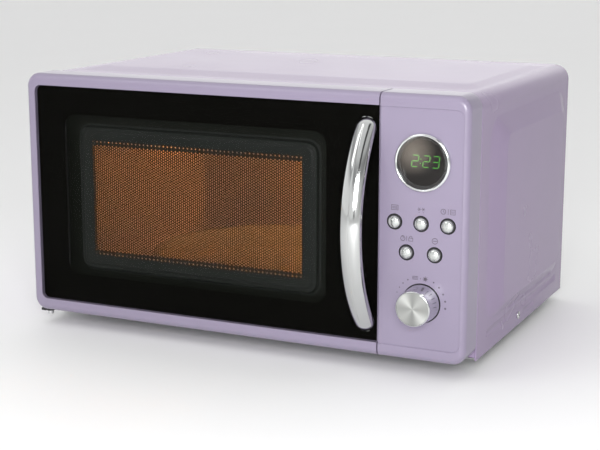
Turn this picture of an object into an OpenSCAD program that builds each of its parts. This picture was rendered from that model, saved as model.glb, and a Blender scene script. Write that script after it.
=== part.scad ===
// Countertop microwave oven with a side-hinged door, a bowed bar handle, a knob and five buttons.
// Millimetres. +X is right, +Y is back, +Z is up. The origin lies on the resting plane, under the
// middle of the overall box, which runs from the front of the handle to the rear screw heads.

/* [Cabinet] */
// Width across the cabinet sides
oven_w = 452; // [450:1:456]
// Height of the cabinet without its feet, to the top of the raised top panel
cabinet_h = 240; // [239:1:244]
// How far the middle of the top stands above its border
top_raise = 2; // [1:0.5:2.5]
// How far the middle of each side stands out from its border
side_raise = 6.5; // [4:0.5:7]
// Depth from the front plane of the door to the rear screw heads
oven_d = 320; // [319:1:330]
// Height of the feet
foot_h = 12; // [10:1:16]
// Thickness of the cover and frame sheet
sheet = 1.2; // [0.8:0.1:1.4]
// Radius of the cover's long top edges
cover_r = 15; // [10:1:18]

/* [Door and control panel] */
// Thickness of the closed door
door_t = 31.5; // [30:0.5:33]
// Width of the control panel
panel_w = 81.4; // [80:0.2:83]
// Gap between the door and the control panel
seam_gap = 1.4; // [1.2:0.1:2]
// Radius of the front outline's outer corners
front_corner_r = 13; // [10:1:15]
// Radius of the rounded front edge
front_edge_r = 6; // [4:0.5:7]
// Width of the coloured rim to the left of the door glass
rim_w = 10.4; // [9:0.2:12]
// Height of the coloured rims over and under the door glass
rim_h = 12; // [11:0.5:13]
// How far the handle stands out from the front plane
handle_reach = 40; // [34:1:42]
// Width of the handle
handle_w = 19; // [17:0.5:21]
// Height of the handle
handle_h = 200; // [190:2:206]
// Widest opening of the door, in degrees
door_opening = 95; // [90:1:95]
// Distance of the hinge axis from the door's left face
hinge_side = 12; // [11.5:0.1:12.5]
// Distance of the hinge axis behind the front plane
hinge_back = 11; // [10.8:0.1:11.5]

/* [Cooking cavity] */
// Width of the cavity
cavity_w = 306; // [300:1:308]
// Height of the cavity
cavity_h = 202; // [198:1:202]
// Distance of the cavity's middle from the cabinet's middle, to the left
cavity_left = 45; // [44:1:46]
// Radius of the glass tray
tray_r = 122.5; // [115:0.5:124]
// Radius of a roller
roller_r = 8; // [7.5:0.1:8.2]
// Radius of the circle that the rollers run on
track_r = 82; // [78:1:86]

/* [Controls] */
// Outer radius of the display's chrome ring
ring_r = 25.8; // [24:0.2:27]
// Radius of a button's cap
button_r = 6.4; // [5.5:0.1:6.6]
// Distance between neighbouring buttons in the upper row
button_pitch = 24.5; // [23:0.5:25]
// Travel of a button
button_travel = 1.2; // [0.8:0.1:1.4]
// Radius of the knob's face
knob_face_r = 15.8; // [14:0.2:17]
// Radius of the knob's foot
knob_foot_r = 17; // [16.8:0.2:18.6]
// Height of the knob above the panel
knob_h = 22.5; // [18:0.5:26]

/* [Hidden] */
$fn = 48;

eps = 0.01;
fit_gap = 0.06;        // radial clearance of a running fit
screw_head_h = 1.6;

// Overall box
left_x = -oven_w / 2;
right_x = oven_w / 2;
front_y = (handle_reach - oven_d) / 2;
rear_y = front_y + oven_d;
base_z = foot_h;
top_z = foot_h + cabinet_h;

// Cover
cover_front_y = front_y + door_t + 0.8;
cover_rear_y = rear_y - screw_head_h;
cover_flange = 12;
cover_z = top_z - top_raise;
raised_base_y = [front_y + 57, front_y + 302];
raised_crest_y = [front_y + 89, front_y + 281];
side_base_z = [base_z + 28, base_z + 214];
side_crest_z = [base_z + 39, base_z + 196.5];
top_base_x = right_x - 17;
top_crest_x = right_x - 30;
side_screw_y = front_y + 160;
side_screw_z = base_z + 10;
rear_screw_inset = 6;

// Front frame and cavity
frame_y = front_y + door_t + 1;
frame_back_y = frame_y + sheet;
frame_gap = 0.3;
frame_bottom_z = base_z + 2.6;
cavity_x0 = -cavity_left - cavity_w / 2;
cavity_x1 = -cavity_left + cavity_w / 2;
cavity_z0 = base_z + 20;
cavity_z1 = cavity_z0 + cavity_h;
cavity_y1 = cover_rear_y - 14.4;
cavity_wall = 1;
cavity_corner_r = 1;
tray_x = -cavity_left;
tray_y = (frame_back_y + cavity_y1) / 2;

// Rear panel and base
panel_back_y = cover_rear_y - sheet;
panel_front_y = panel_back_y - sheet;
pan_rim = 16;
foot_x = right_x - 41;
foot_front_y = front_y + 80;
foot_rear_y = rear_y - 40;
foot_r = 10;

// Door
door_x0 = left_x;
door_x1 = right_x - panel_w - seam_gap;
door_z0 = base_z + 3;
door_z1 = top_z - 0.6;
door_back_y = front_y + door_t;
glass_front_y = front_y + 0.6;
glass_t = 3.2;
glass_back_y = glass_front_y + glass_t;
glass_x0 = door_x0 + rim_w;
glass_x1 = door_x1 - 0.6;
glass_z0 = door_z0 + rim_h + 0.6;
glass_z1 = door_z1 - rim_h + 0.6;
glass_corner_r = 6;
mid_z = (door_z0 + door_z1) / 2;
window_x = -cavity_left;
hollow_x0 = window_x - 162;
hollow_x1 = window_x + 163;
hollow_z0 = mid_z - 103;
hollow_z1 = mid_z + 103;
screen_w = 252;
screen_h = 156;
screen_front_y = front_y + 8;
screen_rim_y = front_y + 25;
choke_y = front_y + 26.2;
latch_x0 = hollow_x1 + 2;
latch_x1 = door_x1 - 2.2;

// Hinge
hinge_x = door_x0 + hinge_side;
hinge_y = front_y + hinge_back;
hinge_pin_r = 3;
hinge_swing_r = door_back_y - hinge_y + 0.3;
hinge_tongue_w = 8;
upper_tongue_z = door_z1 - 12;
tongue_t = 2;
bush_r = 5;
bush_h = 6;

// Handle
handle_x = right_x - 94;
handle_t = 10;
handle_out_r = (pow(handle_h / 2, 2) + pow(handle_reach + 0.6, 2)) / (2 * (handle_reach + 0.6));
handle_in_r = handle_out_r - handle_t;
handle_axis_y = front_y - handle_reach + handle_out_r;
handle_screw_z = handle_h / 2 - 9;

// Latch
latch_bar_x = latch_x0 + 3;
latch_bar_w = 4;
latch_bar_y = front_y + 13;
latch_bar_d = 9;
hook_z = [mid_z - 78, mid_z + 72];
hook_h = 10;
hook_tip_y = frame_back_y + 13;
latch_travel = 4;
spring_r = 3.2;
spring_wire_r = 0.5;
spring_turns = 5;
spring_z0 = mid_z + 86;
spring_h = hollow_z1 - spring_z0;

// Control panel
panel_x0 = right_x - panel_w;
panel_depth = door_t + 0.5;
face_y = front_y + 1.2;
panel_wall = 2.6;
face_x1 = right_x - 5.4;
panel_mid_x = right_x - 41.2;
button_mid_x = panel_mid_x - 1.6;
ring_x = right_x - 42;
ring_z = base_z + 180.7;
upper_row_z = base_z + 127;
lower_row_z = base_z + 100.5;
lower_pitch = 26;
knob_z = base_z + 56.2;
button_out = 4;
button_hole_r = button_r + 0.8;
board_y = front_y + 16;
board_t = 1.6;
shaft_r = 3;

// Turntable
floor_gap = 0.3;
roller_w = 8;
axle_r = 2;
axle_z = cavity_z0 + floor_gap + roller_r;
tray_z = axle_z + roller_r + floor_gap;
tray_t = 5;
tray_rim_h = 9;
ring_in_r = track_r - 14;
ring_out_r = track_r - 4.6;
hub_r = 8;
coupler_r = 24;
coupler_z1 = tray_z - 0.8;
lug_z0 = tray_z - 6;
motor_top_z = cavity_z0 - cavity_wall;
drive_shaft_r = 3.5;

// Component bay, to the right of the cavity
bay_x0 = cavity_x1 + cavity_wall;
bay_mid_x = (bay_x0 + right_x) / 2 - 2;
pan_top_z = base_z + sheet;
guide_y0 = front_y + 105;
guide_y1 = guide_y0 + 90;
guide_z0 = cavity_z1 - 88;
guide_z1 = guide_z0 + 80;
guide_d = 28;
tube_y = (guide_y0 + guide_y1) / 2;
tube_z = (guide_z0 + guide_z1) / 2;
yoke_x0 = bay_x0 + guide_d;
yoke_x1 = yoke_x0 + 52;
fan_z = cavity_z1 - 54;
fan_r = 42;
fan_y0 = panel_front_y - 24;
lamp_y = cavity_y1 - 62;
lamp_z = cavity_z1 - 30;

// ---- Shared shapes ----

module block(x0, x1, y0, y1, z0, z1) {
    translate([x0, y0, z0]) cube([x1 - x0, y1 - y0, z1 - z0]);
}

module rod_x(x0, x1, y, z, r) {
    translate([x0, y, z]) rotate([0, 90, 0]) cylinder(h = x1 - x0, r = r);
}

module rod_y(x, y0, y1, z, r) {
    translate([x, y1, z]) rotate([90, 0, 0]) cylinder(h = y1 - y0, r = r);
}

module rod_z(x, y, z0, z1, r) {
    translate([x, y, z0]) cylinder(h = z1 - z0, r = r);
}

// Turns a shape drawn in X and Z into a solid from y0 to y1
module along_y(y0, y1) {
    translate([0, y1, 0]) rotate([90, 0, 0]) linear_extrude(y1 - y0) children();
}

module rounded_rect(x0, x1, z0, z1, r) {
    translate([x0 + r, z0]) square([x1 - x0 - 2 * r, z1 - z0]);
    translate([x0, z0 + r]) square([x1 - x0, z1 - z0 - 2 * r]);
    for (x = [x0 + r, x1 - r], z = [z0 + r, z1 - r]) translate([x, z]) circle(r);
}

module rounded_slab(x0, x1, z0, z1, r, y0, y1) {
    along_y(y0, y1) rounded_rect(x0, x1, z0, z1, r);
}

// Front outline with round corners on one side only: side is -1 for left and 1 for right
module front_outline(x0, x1, side, inset) {
    lo = side < 0 ? x0 + inset : x0;
    hi = side > 0 ? x1 - inset : x1;
    z0 = door_z0 + inset;
    z1 = door_z1 - inset;
    rounded_rect(lo, hi, z0, z1, front_corner_r - inset);
    translate([side < 0 ? (lo + hi) / 2 : lo, z0]) square([(hi - lo) / 2, z1 - z0]);
}

// Block of the door or the control panel with its rounded front edge
module front_body(x0, x1, side, depth) {
    along_y(front_y + front_edge_r, front_y + depth) front_outline(x0, x1, side, 0);
    hull() for (a = [0 : 22.5 : 90]) {
        y = front_y + front_edge_r * (1 - cos(a));
        along_y(y, y + eps) front_outline(x0, x1, side, front_edge_r * (1 - sin(a)), $fn = 32);
    }
}

module hole_grid(xs, ys) {
    for (x = xs, y = ys) translate([x, y]) circle(1.6, $fn = 16);
}

// ---- Cabinet ----

module cover_outline(inset) {
    x1 = right_x - inset;
    z1 = cover_z - inset;
    rounded_rect(-x1, x1, base_z + 30, z1, cover_r - inset);
    translate([-x1, base_z]) square([2 * x1, cabinet_h / 2]);
}

// Area between the line where a raised panel starts to rise and the line of its flat middle:
// base and crest are the positions of these lines, low is the panel's foot and rise its height
module raised_profile(base, crest, low, rise) {
    polygon([[base[0], low], [base[0], 0], [crest[0], rise], [crest[1], rise], [base[1], 0], [base[1], low]]);
}

module raised_side(low) {
    intersection() {
        translate([0, 0, side_base_z[0]]) rotate([0, 0, 90]) mirror([0, 1, 0])
            linear_extrude(side_base_z[1] - side_base_z[0])
            raised_profile(raised_base_y, raised_crest_y, low, side_raise);
        along_y(raised_base_y[0], raised_base_y[1]) rotate(90) mirror([0, 1])
            raised_profile(side_base_z, side_crest_z, low, side_raise);
    }
}

module raised_top(low) {
    translate([0, 0, cover_z]) intersection() {
        rotate([90, 0, 90]) translate([0, 0, -top_base_x]) linear_extrude(2 * top_base_x)
            raised_profile(raised_base_y, raised_crest_y, low, top_raise);
        along_y(raised_base_y[0], raised_base_y[1])
            raised_profile([-top_base_x, top_base_x], [-top_crest_x, top_crest_x], low, top_raise);
    }
}

module cabinet_cover() {
    color("thistle") difference() {
        union() {
            difference() {
                along_y(cover_front_y, cover_rear_y) cover_outline(0);
                along_y(cover_front_y - 1, cover_rear_y - sheet) cover_outline(sheet);
                along_y(cover_front_y - 1, cover_rear_y + 1) cover_outline(cover_flange);
                block(left_x - 1, right_x + 1, cover_front_y - 1, cover_rear_y + 1, 0, base_z + eps);
                block(left_x + sheet, right_x - sheet, cover_rear_y - sheet - 1, cover_rear_y + 1, 0,
                      base_z + 14);
            }
            for (s = [0, 1]) mirror([s, 0, 0]) translate([right_x, 0, 0]) raised_side(-sheet / 2);
            raised_top(-sheet / 2);
        }
        for (s = [0, 1]) mirror([s, 0, 0]) {
            translate([right_x - sheet - eps, 0, 0]) raised_side(-3);
            rod_x(right_x - 4, right_x + 4, side_screw_y, side_screw_z, 2.2);
        }
        translate([0, 0, -sheet - eps]) raised_top(-3);
        for (p = rear_screw_places()) rod_y(p[0], cover_rear_y - 4, cover_rear_y + 1, p[1], 2.2);
    }
}

function rear_screw_places() = [
    [left_x + rear_screw_inset, base_z + 60], [left_x + rear_screw_inset, base_z + 180],
    [right_x - rear_screw_inset, base_z + 60], [right_x - rear_screw_inset, base_z + 180],
    [0, cover_z - rear_screw_inset]];

module cover_screws() {
    color("silver") {
        for (p = rear_screw_places()) {
            rod_y(p[0], cover_rear_y, rear_y, p[1], 3.8);
            rod_y(p[0], cover_rear_y - 7, cover_rear_y, p[1], 1.7);
        }
        for (s = [-1, 1]) mirror([s < 0 ? 1 : 0, 0, 0]) {
            rod_x(right_x, right_x + screw_head_h, side_screw_y, side_screw_z, 3.8);
            rod_x(right_x - 7, right_x, side_screw_y, side_screw_z, 1.7);
        }
    }
}

module base_pan() {
    x1 = right_x - sheet - 0.2;
    y0 = frame_back_y + 2.2;
    y1 = panel_front_y - 0.2;
    color("silver") difference() {
        block(-x1, x1, y0, y1, base_z, pan_top_z + pan_rim);
        block(-x1 + sheet, x1 - sheet, y0 - 1, y1 + 1, pan_top_z, pan_top_z + pan_rim + 1);
        for (s = [-1, 1]) rod_x(s * right_x - 6, s * right_x + 6, side_screw_y, side_screw_z, 2.2);
        for (x = [-foot_x, foot_x], y = [foot_front_y, foot_rear_y])
            rod_z(x, y, base_z - 1, pan_top_z + 1, 2.4);
        rod_z(tray_x, tray_y, base_z - 1, pan_top_z + 1, 26);
        for (i = [0 : 7]) block(left_x + 30, left_x + 70, tray_y - 40 + 10 * i, tray_y - 36 + 10 * i,
                                base_z - 1, pan_top_z + 1);
    }
}

module rear_panel() {
    x1 = right_x - sheet - 0.3;
    color("silver") difference() {
        along_y(panel_front_y, panel_back_y) difference() {
            rounded_rect(-x1, x1, base_z + 1.4, cover_z - sheet - 0.3, cover_r - sheet - 0.3);
            for (i = [0 : 8], j = [0 : 3])
                translate([bay_mid_x - 32 + 8 * i, fan_z - 30 + 18 * j]) square([4, 14]);
            for (i = [0 : 5]) translate([left_x + 40 + 14 * i, base_z + 190]) square([8, 18]);
        }
        for (p = rear_screw_places()) rod_y(p[0], panel_front_y - 1, panel_back_y + 1, p[1], 1.76);
        rod_y(right_x - 40, panel_front_y - 1, panel_back_y + 1, base_z + 36, 7.1);
    }
}

// Gland that a mains lead would pass through
module cord_inlet() {
    x = right_x - 40;
    z = base_z + 36;
    color("black") difference() {
        union() {
            rod_y(x, panel_back_y, rear_y, z, 9);
            rod_y(x, panel_front_y - 3, panel_back_y, z, 7);
            rod_y(x, panel_front_y - 5, panel_front_y, z, 8.4);
        }
        rod_y(x, panel_front_y - 10, rear_y + 1, z, 3.6);
    }
}

module feet() {
    color("black") for (x = [-foot_x, foot_x], y = [foot_front_y, foot_rear_y])
        translate([x, y, 0]) difference() {
            union() {
                cylinder(h = foot_h, r1 = foot_r - 1.5, r2 = foot_r);
                translate([0, 0, foot_h]) cylinder(h = sheet + 2, r = 2.3);
            }
            translate([0, 0, -1]) cylinder(h = foot_h - 4, r = 4);
        }
}

module front_frame() {
    x1 = right_x - sheet - frame_gap;
    z1 = cover_z - sheet - frame_gap;
    color("thistle") along_y(frame_y, frame_back_y) difference() {
        union() {
            rounded_rect(-x1, x1, frame_bottom_z + 30, z1, cover_r - sheet - frame_gap);
            translate([-x1, frame_bottom_z]) square([2 * x1, cabinet_h / 2]);
        }
        rounded_rect(cavity_x0, cavity_x1, cavity_z0, cavity_z1, cavity_corner_r);
        translate([panel_x0 + 8, base_z + 22]) square([panel_w - 22, cabinet_h - 44]);
        for (z = hook_z)
            translate([latch_bar_x - 4, z - 3]) square([latch_bar_w + 9, hook_h + 6 + latch_travel]);
        translate([hinge_x - hinge_tongue_w / 2 - 0.4, upper_tongue_z - 0.4])
            square([hinge_tongue_w + 0.8, tongue_t + 0.8]);
    }
}

module cavity_liner() {
    x0 = cavity_x0 - cavity_wall;
    x1 = cavity_x1 + cavity_wall;
    z0 = cavity_z0 - cavity_wall;
    z1 = cavity_z1 + cavity_wall;
    color("linen") difference() {
        rounded_slab(x0, x1, z0, z1, cavity_corner_r + cavity_wall, frame_back_y,
                     cavity_y1 + cavity_wall);
        rounded_slab(cavity_x0, cavity_x1, cavity_z0, cavity_z1, cavity_corner_r, frame_back_y - 1,
                     cavity_y1);
        rod_z(tray_x, tray_y, z0 - 1, cavity_z0 + 1, hub_r + 1.5);
        block(cavity_x1 - 1, x1 + 1, tube_y - 30, tube_y + 30, guide_z0 + 10, guide_z1 - 10);
        translate([cavity_x1 - 1, lamp_y, lamp_z]) rotate([90, 0, 90]) linear_extrude(3)
            hole_grid([-14 : 7 : 14], [-14 : 7 : 14]);
        translate([x0 - 1, cavity_y1 - 60, cavity_z1 - 60]) rotate([90, 0, 90]) linear_extrude(3)
            hole_grid([-21 : 7 : 21], [-7 : 7 : 14]);
    }
}

// ---- Hinges ----

module hinge_plate(z, leg_z0, leg_z1) {
    block(hinge_x - hinge_tongue_w / 2, hinge_x + hinge_tongue_w / 2, hinge_y, frame_back_y + 2,
          z, z + tongue_t);
    rod_z(hinge_x, hinge_y, z, z + tongue_t, hinge_tongue_w / 2);
    block(hinge_x - 8, hinge_x + hinge_tongue_w / 2, frame_back_y, frame_back_y + 2, leg_z0, leg_z1);
}

module upper_hinge() {
    color("dimgray") {
        hinge_plate(upper_tongue_z, upper_tongue_z - 26, upper_tongue_z + tongue_t);
        rod_z(hinge_x, hinge_y, upper_tongue_z, upper_tongue_z + tongue_t + bush_h + 1, hinge_pin_r);
    }
}

module lower_hinge() {
    color("dimgray") {
        hinge_plate(base_z + 0.4, base_z + 0.4, base_z + 34);
        rod_z(hinge_x, hinge_y, base_z - 3, door_z0 + bush_h + 1, hinge_pin_r);
        block(hinge_x - 9, hinge_x - 4, hinge_y - 3, hinge_y + 3, base_z, base_z + 2.4);
    }
}

module hinge_bushes() {
    color("white") for (z = [door_z0, upper_tongue_z + tongue_t + 1.5]) difference() {
        rod_z(hinge_x, hinge_y, z, z + bush_h, bush_r);
        rod_z(hinge_x, hinge_y, z - 1, z + bush_h + 1, hinge_pin_r + fit_gap);
    }
}

// ---- Door ----

// Space that the fixed hinge tongue needs in the door as the door turns about it
module hinge_notch() {
    h = hinge_tongue_w / 2 + 0.6;
    reach = 34;
    far = [-reach * sin(door_opening), reach * cos(door_opening)];
    side = [-h * cos(door_opening), -h * sin(door_opening)];
    translate([hinge_x, hinge_y, upper_tongue_z - 1.5]) linear_extrude(tongue_t + 3) {
        circle(h + 0.3);
        polygon([[h, 0], [h, reach], [-reach, reach], far + side, side]);
    }
}

module door_frame() {
    boss_y = glass_back_y + 0.2;
    color("thistle") difference() {
        front_body(door_x0, door_x1, -1, door_t);
        // glass seat, open at the right side
        along_y(front_y - 1, boss_y) front_glass_outline(0.2, 2);
        // window and the hollow behind it
        rounded_slab(window_x - 140, window_x + 140, mid_z - 84, mid_z + 84, 12, front_y, door_back_y + 1);
        rounded_slab(hollow_x0, hollow_x1, hollow_z0, hollow_z1, 5, front_y + 7, door_back_y + 1);
        // latch space, with a hook slot at each end of the bar
        block(latch_x0, latch_x1, front_y + 11, door_back_y - 2.5, hollow_z0 + 4, hollow_z1);
        for (z = hook_z) block(latch_bar_x - 1, latch_bar_x + latch_bar_w + 1, door_back_y - 3,
                               door_back_y + 1, z - 1.5, z + hook_h + latch_travel + 1.5);
        // clearance for turning about the hinge
        difference() {
            block(door_x0 - 1, hinge_x, hinge_y, door_back_y + 1, door_z0 - 1, door_z1 + 1);
            rod_z(hinge_x, hinge_y, door_z0 - 2, door_z1 + 2, hinge_swing_r);
        }
        hinge_notch();
        rod_z(hinge_x, hinge_y, door_z0 - 1, door_z0 + bush_h, bush_r);
        rod_z(hinge_x, hinge_y, door_z0 - 1, door_z0 + bush_h + 4, hinge_pin_r + 0.4);
        rod_z(hinge_x, hinge_y, upper_tongue_z, upper_tongue_z + tongue_t + 1.5 + bush_h, bush_r);
        // handle screws
        for (s = [-1, 1]) {
            rod_y(handle_x, front_y - 1, front_y + 12, mid_z + s * handle_screw_z, 1.9);
            rod_y(handle_x, front_y + 8, front_y + 13, mid_z + s * handle_screw_z, 4.2);
        }
    }
}

module front_glass_outline(grow, right_grow) {
    x0 = glass_x0 - grow;
    x1 = glass_x1 + right_grow;
    rounded_rect(x0, x1, glass_z0 - grow, glass_z1 + grow, glass_corner_r + grow);
    translate([(x0 + x1) / 2, glass_z0 - grow]) square([(x1 - x0) / 2, glass_z1 - glass_z0 + 2 * grow]);
}

module door_glass() {
    color([0.05, 0.05, 0.05]) difference() {
        along_y(glass_front_y, glass_back_y) front_glass_outline(0, 0);
        for (s = [-1, 1]) rod_y(handle_x, front_y - 1, front_y + 12, mid_z + s * handle_screw_z, 1.9);
    }
}

// Stamped steel panel: the small holes of its window area are not cut here
module door_screen() {
    x0 = window_x - screen_w / 2;
    x1 = window_x + screen_w / 2;
    z0 = mid_z - screen_h / 2;
    z1 = mid_z + screen_h / 2;
    color("darkslategray") difference() {
        union() {
            rounded_slab(x0, x1, z0, z1, 10, screen_front_y, choke_y);
            rounded_slab(hollow_x0 + 0.5, hollow_x1 - 0.5, hollow_z0 + 0.5, hollow_z1 - 0.5, 4.5,
                         screen_rim_y, choke_y);
        }
        rounded_slab(x0 + sheet, x1 - sheet, z0 + sheet, z1 - sheet, 10 - sheet,
                     screen_front_y + sheet, door_back_y + 1);
    }
}

module door_choke_cover() {
    color("dimgray") rounded_slab_ring(hollow_x0 + 0.5, hollow_x1 - 0.5, hollow_z0 + 0.5, hollow_z1 - 0.5,
                                       4.5, choke_y, door_back_y);
}

module rounded_slab_ring(x0, x1, z0, z1, r, y0, y1) {
    difference() {
        rounded_slab(x0, x1, z0, z1, r, y0, y1);
        rounded_slab(window_x - 124, window_x + 124, mid_z - 76, mid_z + 76, 9, y0 - 1, y1 + 1);
    }
}

module door_inner_window() {
    color([0.7, 0.75, 0.75, 0.4])
        rounded_slab(window_x - 123.8, window_x + 123.8, mid_z - 75.8, mid_z + 75.8, 8.8,
                     door_back_y - 3.2, door_back_y - 1.2);
}

module handle() {
    color("silver") difference() {
        intersection() {
            translate([handle_x, handle_axis_y, mid_z]) rotate([0, 90, 0]) rotate([0, 0, 210])
                rotate_extrude(angle = 120, $fn = 180) translate([handle_in_r, 0]) handle_section();
            rounded_slab(handle_x - handle_w / 2, handle_x + handle_w / 2, mid_z - handle_h / 2,
                         mid_z + handle_h / 2, handle_w / 2 - 0.3, front_y - handle_reach - 1, glass_front_y);
        }
        for (s = [-1, 1])
            rod_y(handle_x, glass_front_y - 5.2, glass_front_y + 1, mid_z + s * handle_screw_z, 1.55);
    }
}

// Section of the handle: thickness along X, width along Y
module handle_section() {
    r = 3.5;
    translate([0, -handle_w / 2]) rounded_rect(0, handle_t, 0, handle_w, r);
}

module handle_screws() {
    color("silver") for (s = [-1, 1]) {
        z = mid_z + s * handle_screw_z;
        rod_y(handle_x, glass_front_y - 5, front_y + 8, z, 1.5);
        rod_y(handle_x, front_y + 8, front_y + 10, z, 3.6);
    }
}

module latch_bar() {
    x1 = latch_bar_x + latch_bar_w;
    color("white") {
        block(latch_bar_x, x1, latch_bar_y, latch_bar_y + latch_bar_d, hook_z[0] - 4, spring_z0);
        for (z = hook_z) {
            block(latch_bar_x, x1, latch_bar_y, hook_tip_y, z + 3, z + hook_h);
            block(latch_bar_x, x1, hook_tip_y - 5, hook_tip_y, z, z + 3);
        }
    }
}

// Wire coil between the top of the latch bar and the roof of its space
module latch_spring() {
    steps = 12;
    sides = 6;
    rings = spring_turns * steps;
    points = [for (i = [0 : rings], k = [0 : sides - 1])
        let (turn = 360 * i / steps, around = 360 * k / sides,
             r = spring_r + spring_wire_r * cos(around))
        [r * cos(turn), r * sin(turn),
         spring_wire_r * (1 + sin(around)) + (spring_h - 2 * spring_wire_r) * i / rings]];
    walls = [for (i = [0 : rings - 1], k = [0 : sides - 1])
        let (n = (k + 1) % sides, a = i * sides, b = a + sides) [a + k, b + k, b + n, a + n]];
    foot = [[for (k = [0 : sides - 1]) k]];
    head = [[for (k = [sides - 1 : -1 : 0]) rings * sides + k]];
    color("silver") translate([latch_bar_x + latch_bar_w / 2, latch_bar_y + latch_bar_d / 2, spring_z0])
        polyhedron(points = points, faces = concat(walls, foot, head));
}

// ---- Control panel ----

function button_place(i) = [
    [button_mid_x - button_pitch, upper_row_z], [button_mid_x, upper_row_z],
    [button_mid_x + button_pitch, upper_row_z],
    [button_mid_x - lower_pitch / 2, lower_row_z], [button_mid_x + lower_pitch / 2, lower_row_z]][i];

module control_panel() {
    color("thistle") difference() {
        front_body(panel_x0, right_x, 1, panel_depth);
        // sunken face, open at the left side
        along_y(front_y - 1, face_y) {
            rounded_rect(panel_x0 + 10, face_x1, door_z0 + rim_h, door_z1 - rim_h, 6);
            translate([panel_x0 - 1, door_z0 + rim_h]) square([20, door_z1 - door_z0 - 2 * rim_h]);
        }
        rounded_slab(panel_x0 + panel_wall, right_x - panel_wall, door_z0 + panel_wall, door_z1 - panel_wall,
                     front_corner_r - panel_wall, face_y + 2.8, front_y + panel_depth + 1);
        rod_y(ring_x, front_y - 1, front_y + 10, ring_z, ring_r - 4);
        rod_y(panel_mid_x, front_y - 1, front_y + 10, knob_z, 5);
        for (i = [0 : 4])
            rod_y(button_place(i)[0], front_y - 1, front_y + 10, button_place(i)[1], button_hole_r);
    }
}

module display_bezel() {
    color("silver") translate([ring_x, face_y, ring_z]) rotate([90, 0, 0]) difference() {
        union() {
            cylinder(h = 2.2, r = ring_r);
            translate([0, 0, 2.2]) cylinder(h = 1.2, r1 = ring_r, r2 = ring_r - 1.4);
            translate([0, 0, -2.8]) cylinder(h = 2.8, r = ring_r - 4.3);
        }
        translate([0, 0, -4]) cylinder(h = 10, r = ring_r - 5.6);
        translate([0, 0, 0.8]) cylinder(h = 4, r = ring_r - 3);
    }
}

module display_lens() {
    color([0.2, 0.16, 0.14]) rod_y(ring_x, face_y - 2.4, face_y - 0.8, ring_z, ring_r - 3.1);
}

module display_module() {
    color("black") {
        block(ring_x - 17, ring_x + 17, face_y + 4, board_y, ring_z - 10, ring_z + 10);
    }
}

module control_board() {
    color("darkgreen") difference() {
        block(panel_x0 + 5, right_x - 5, board_y, board_y + board_t, door_z0 + 12, door_z1 - 12);
        for (x = [panel_x0 + 9, right_x - 9], z = [door_z0 + 17, door_z1 - 17])
            rod_y(x, board_y - 1, board_y + 3, z, 1.7);
    }
}

module encoder_body() {
    color("gray") difference() {
        union() {
            block(panel_mid_x - 6.5, panel_mid_x + 6.5, board_y - 6, board_y, knob_z - 6.5, knob_z + 6.5);
            rod_y(panel_mid_x, face_y + 0.4, board_y - 6, knob_z, 4.4);
        }
        rod_y(panel_mid_x, front_y - 1, board_y - 1, knob_z, shaft_r + fit_gap);
    }
}

module knob_shaft() {
    color("silver") rod_y(panel_mid_x, face_y - knob_h + 6, board_y - 1.4, knob_z, shaft_r);
}

module knob() {
    color("silver") translate([panel_mid_x, face_y - 0.5, knob_z]) rotate([90, 0, 0]) difference() {
        rotate_extrude() polygon([[0, 0], [knob_foot_r, 0], [knob_foot_r, 1.4], [knob_face_r + 0.8, 6],
            [knob_face_r, 9], [knob_face_r, knob_h - 1.3], [knob_face_r - 1, knob_h - 0.5],
            [0, knob_h - 0.5]]);
        translate([0, 0, -1]) cylinder(h = knob_h - 5.5, r = shaft_r + 0.02);
        translate([0, 0, -1]) difference() {
            cylinder(h = 9, r = knob_face_r - 2);
            cylinder(h = 9, r = shaft_r + 3);
        }
    }
}

// Domed cap, a collar behind the panel that keeps it in, and a stem to its switch
module button(i) {
    dome_h = 1.6;
    sphere_r = (pow(button_r, 2) + pow(dome_h, 2)) / (2 * dome_h);
    color("gainsboro") translate([button_place(i)[0], face_y, button_place(i)[1]]) rotate([90, 0, 0]) {
        translate([0, 0, -3.2]) cylinder(h = 3.2 + button_out - dome_h, r = button_r);
        intersection() {
            translate([0, 0, button_out - sphere_r]) sphere(sphere_r, $fn = 96);
            translate([0, 0, button_out - dome_h - 1]) cylinder(h = dome_h + 2, r = button_r);
        }
        translate([0, 0, -4.2]) cylinder(h = 1.2, r = button_hole_r + 1.2);
        translate([0, 0, -8]) cylinder(h = 4, r = 2.4);
    }
}

module button_upper_left() { button(0); }
module button_upper_middle() { button(1); }
module button_upper_right() { button(2); }
module button_lower_left() { button(3); }
module button_lower_right() { button(4); }

module tact_switches() {
    color("black") for (i = [0 : 4]) {
        x = button_place(i)[0];
        z = button_place(i)[1];
        block(x - 3, x + 3, board_y - 3.5, board_y, z - 3, z + 3);
        rod_y(x, face_y + 8 + button_travel + 0.3, board_y - 3.5, z, 1.7);
    }
}

// ---- Turntable ----

module turntable_motor() {
    color("silver") difference() {
        union() {
            rod_z(tray_x, tray_y, motor_top_z - 15, motor_top_z, 24.5);
            block(tray_x - 32, tray_x + 32, tray_y - 6, tray_y + 6, motor_top_z - 2, motor_top_z);
        }
        rod_z(tray_x, tray_y, motor_top_z - 12, motor_top_z + 1, drive_shaft_r + fit_gap);
    }
}

module turntable_shaft() {
    color("silver") rod_z(tray_x, tray_y, motor_top_z - 11, cavity_z0 + 9, drive_shaft_r);
}

module drive_coupler() {
    color("whitesmoke") translate([tray_x, tray_y, 0]) difference() {
        union() {
            rod_z(0, 0, cavity_z0 - 0.6, coupler_z1 - 6, hub_r);
            translate([0, 0, coupler_z1 - 6]) linear_extrude(6) {
                circle(hub_r + 0.4);
                for (turn = [30, 150, 270]) rotate(turn) translate([0, -5]) square([coupler_r, 10]);
            }
        }
        rod_z(0, 0, cavity_z0 - 2, cavity_z0 + 9.2, drive_shaft_r + 0.02);
    }
}

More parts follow.
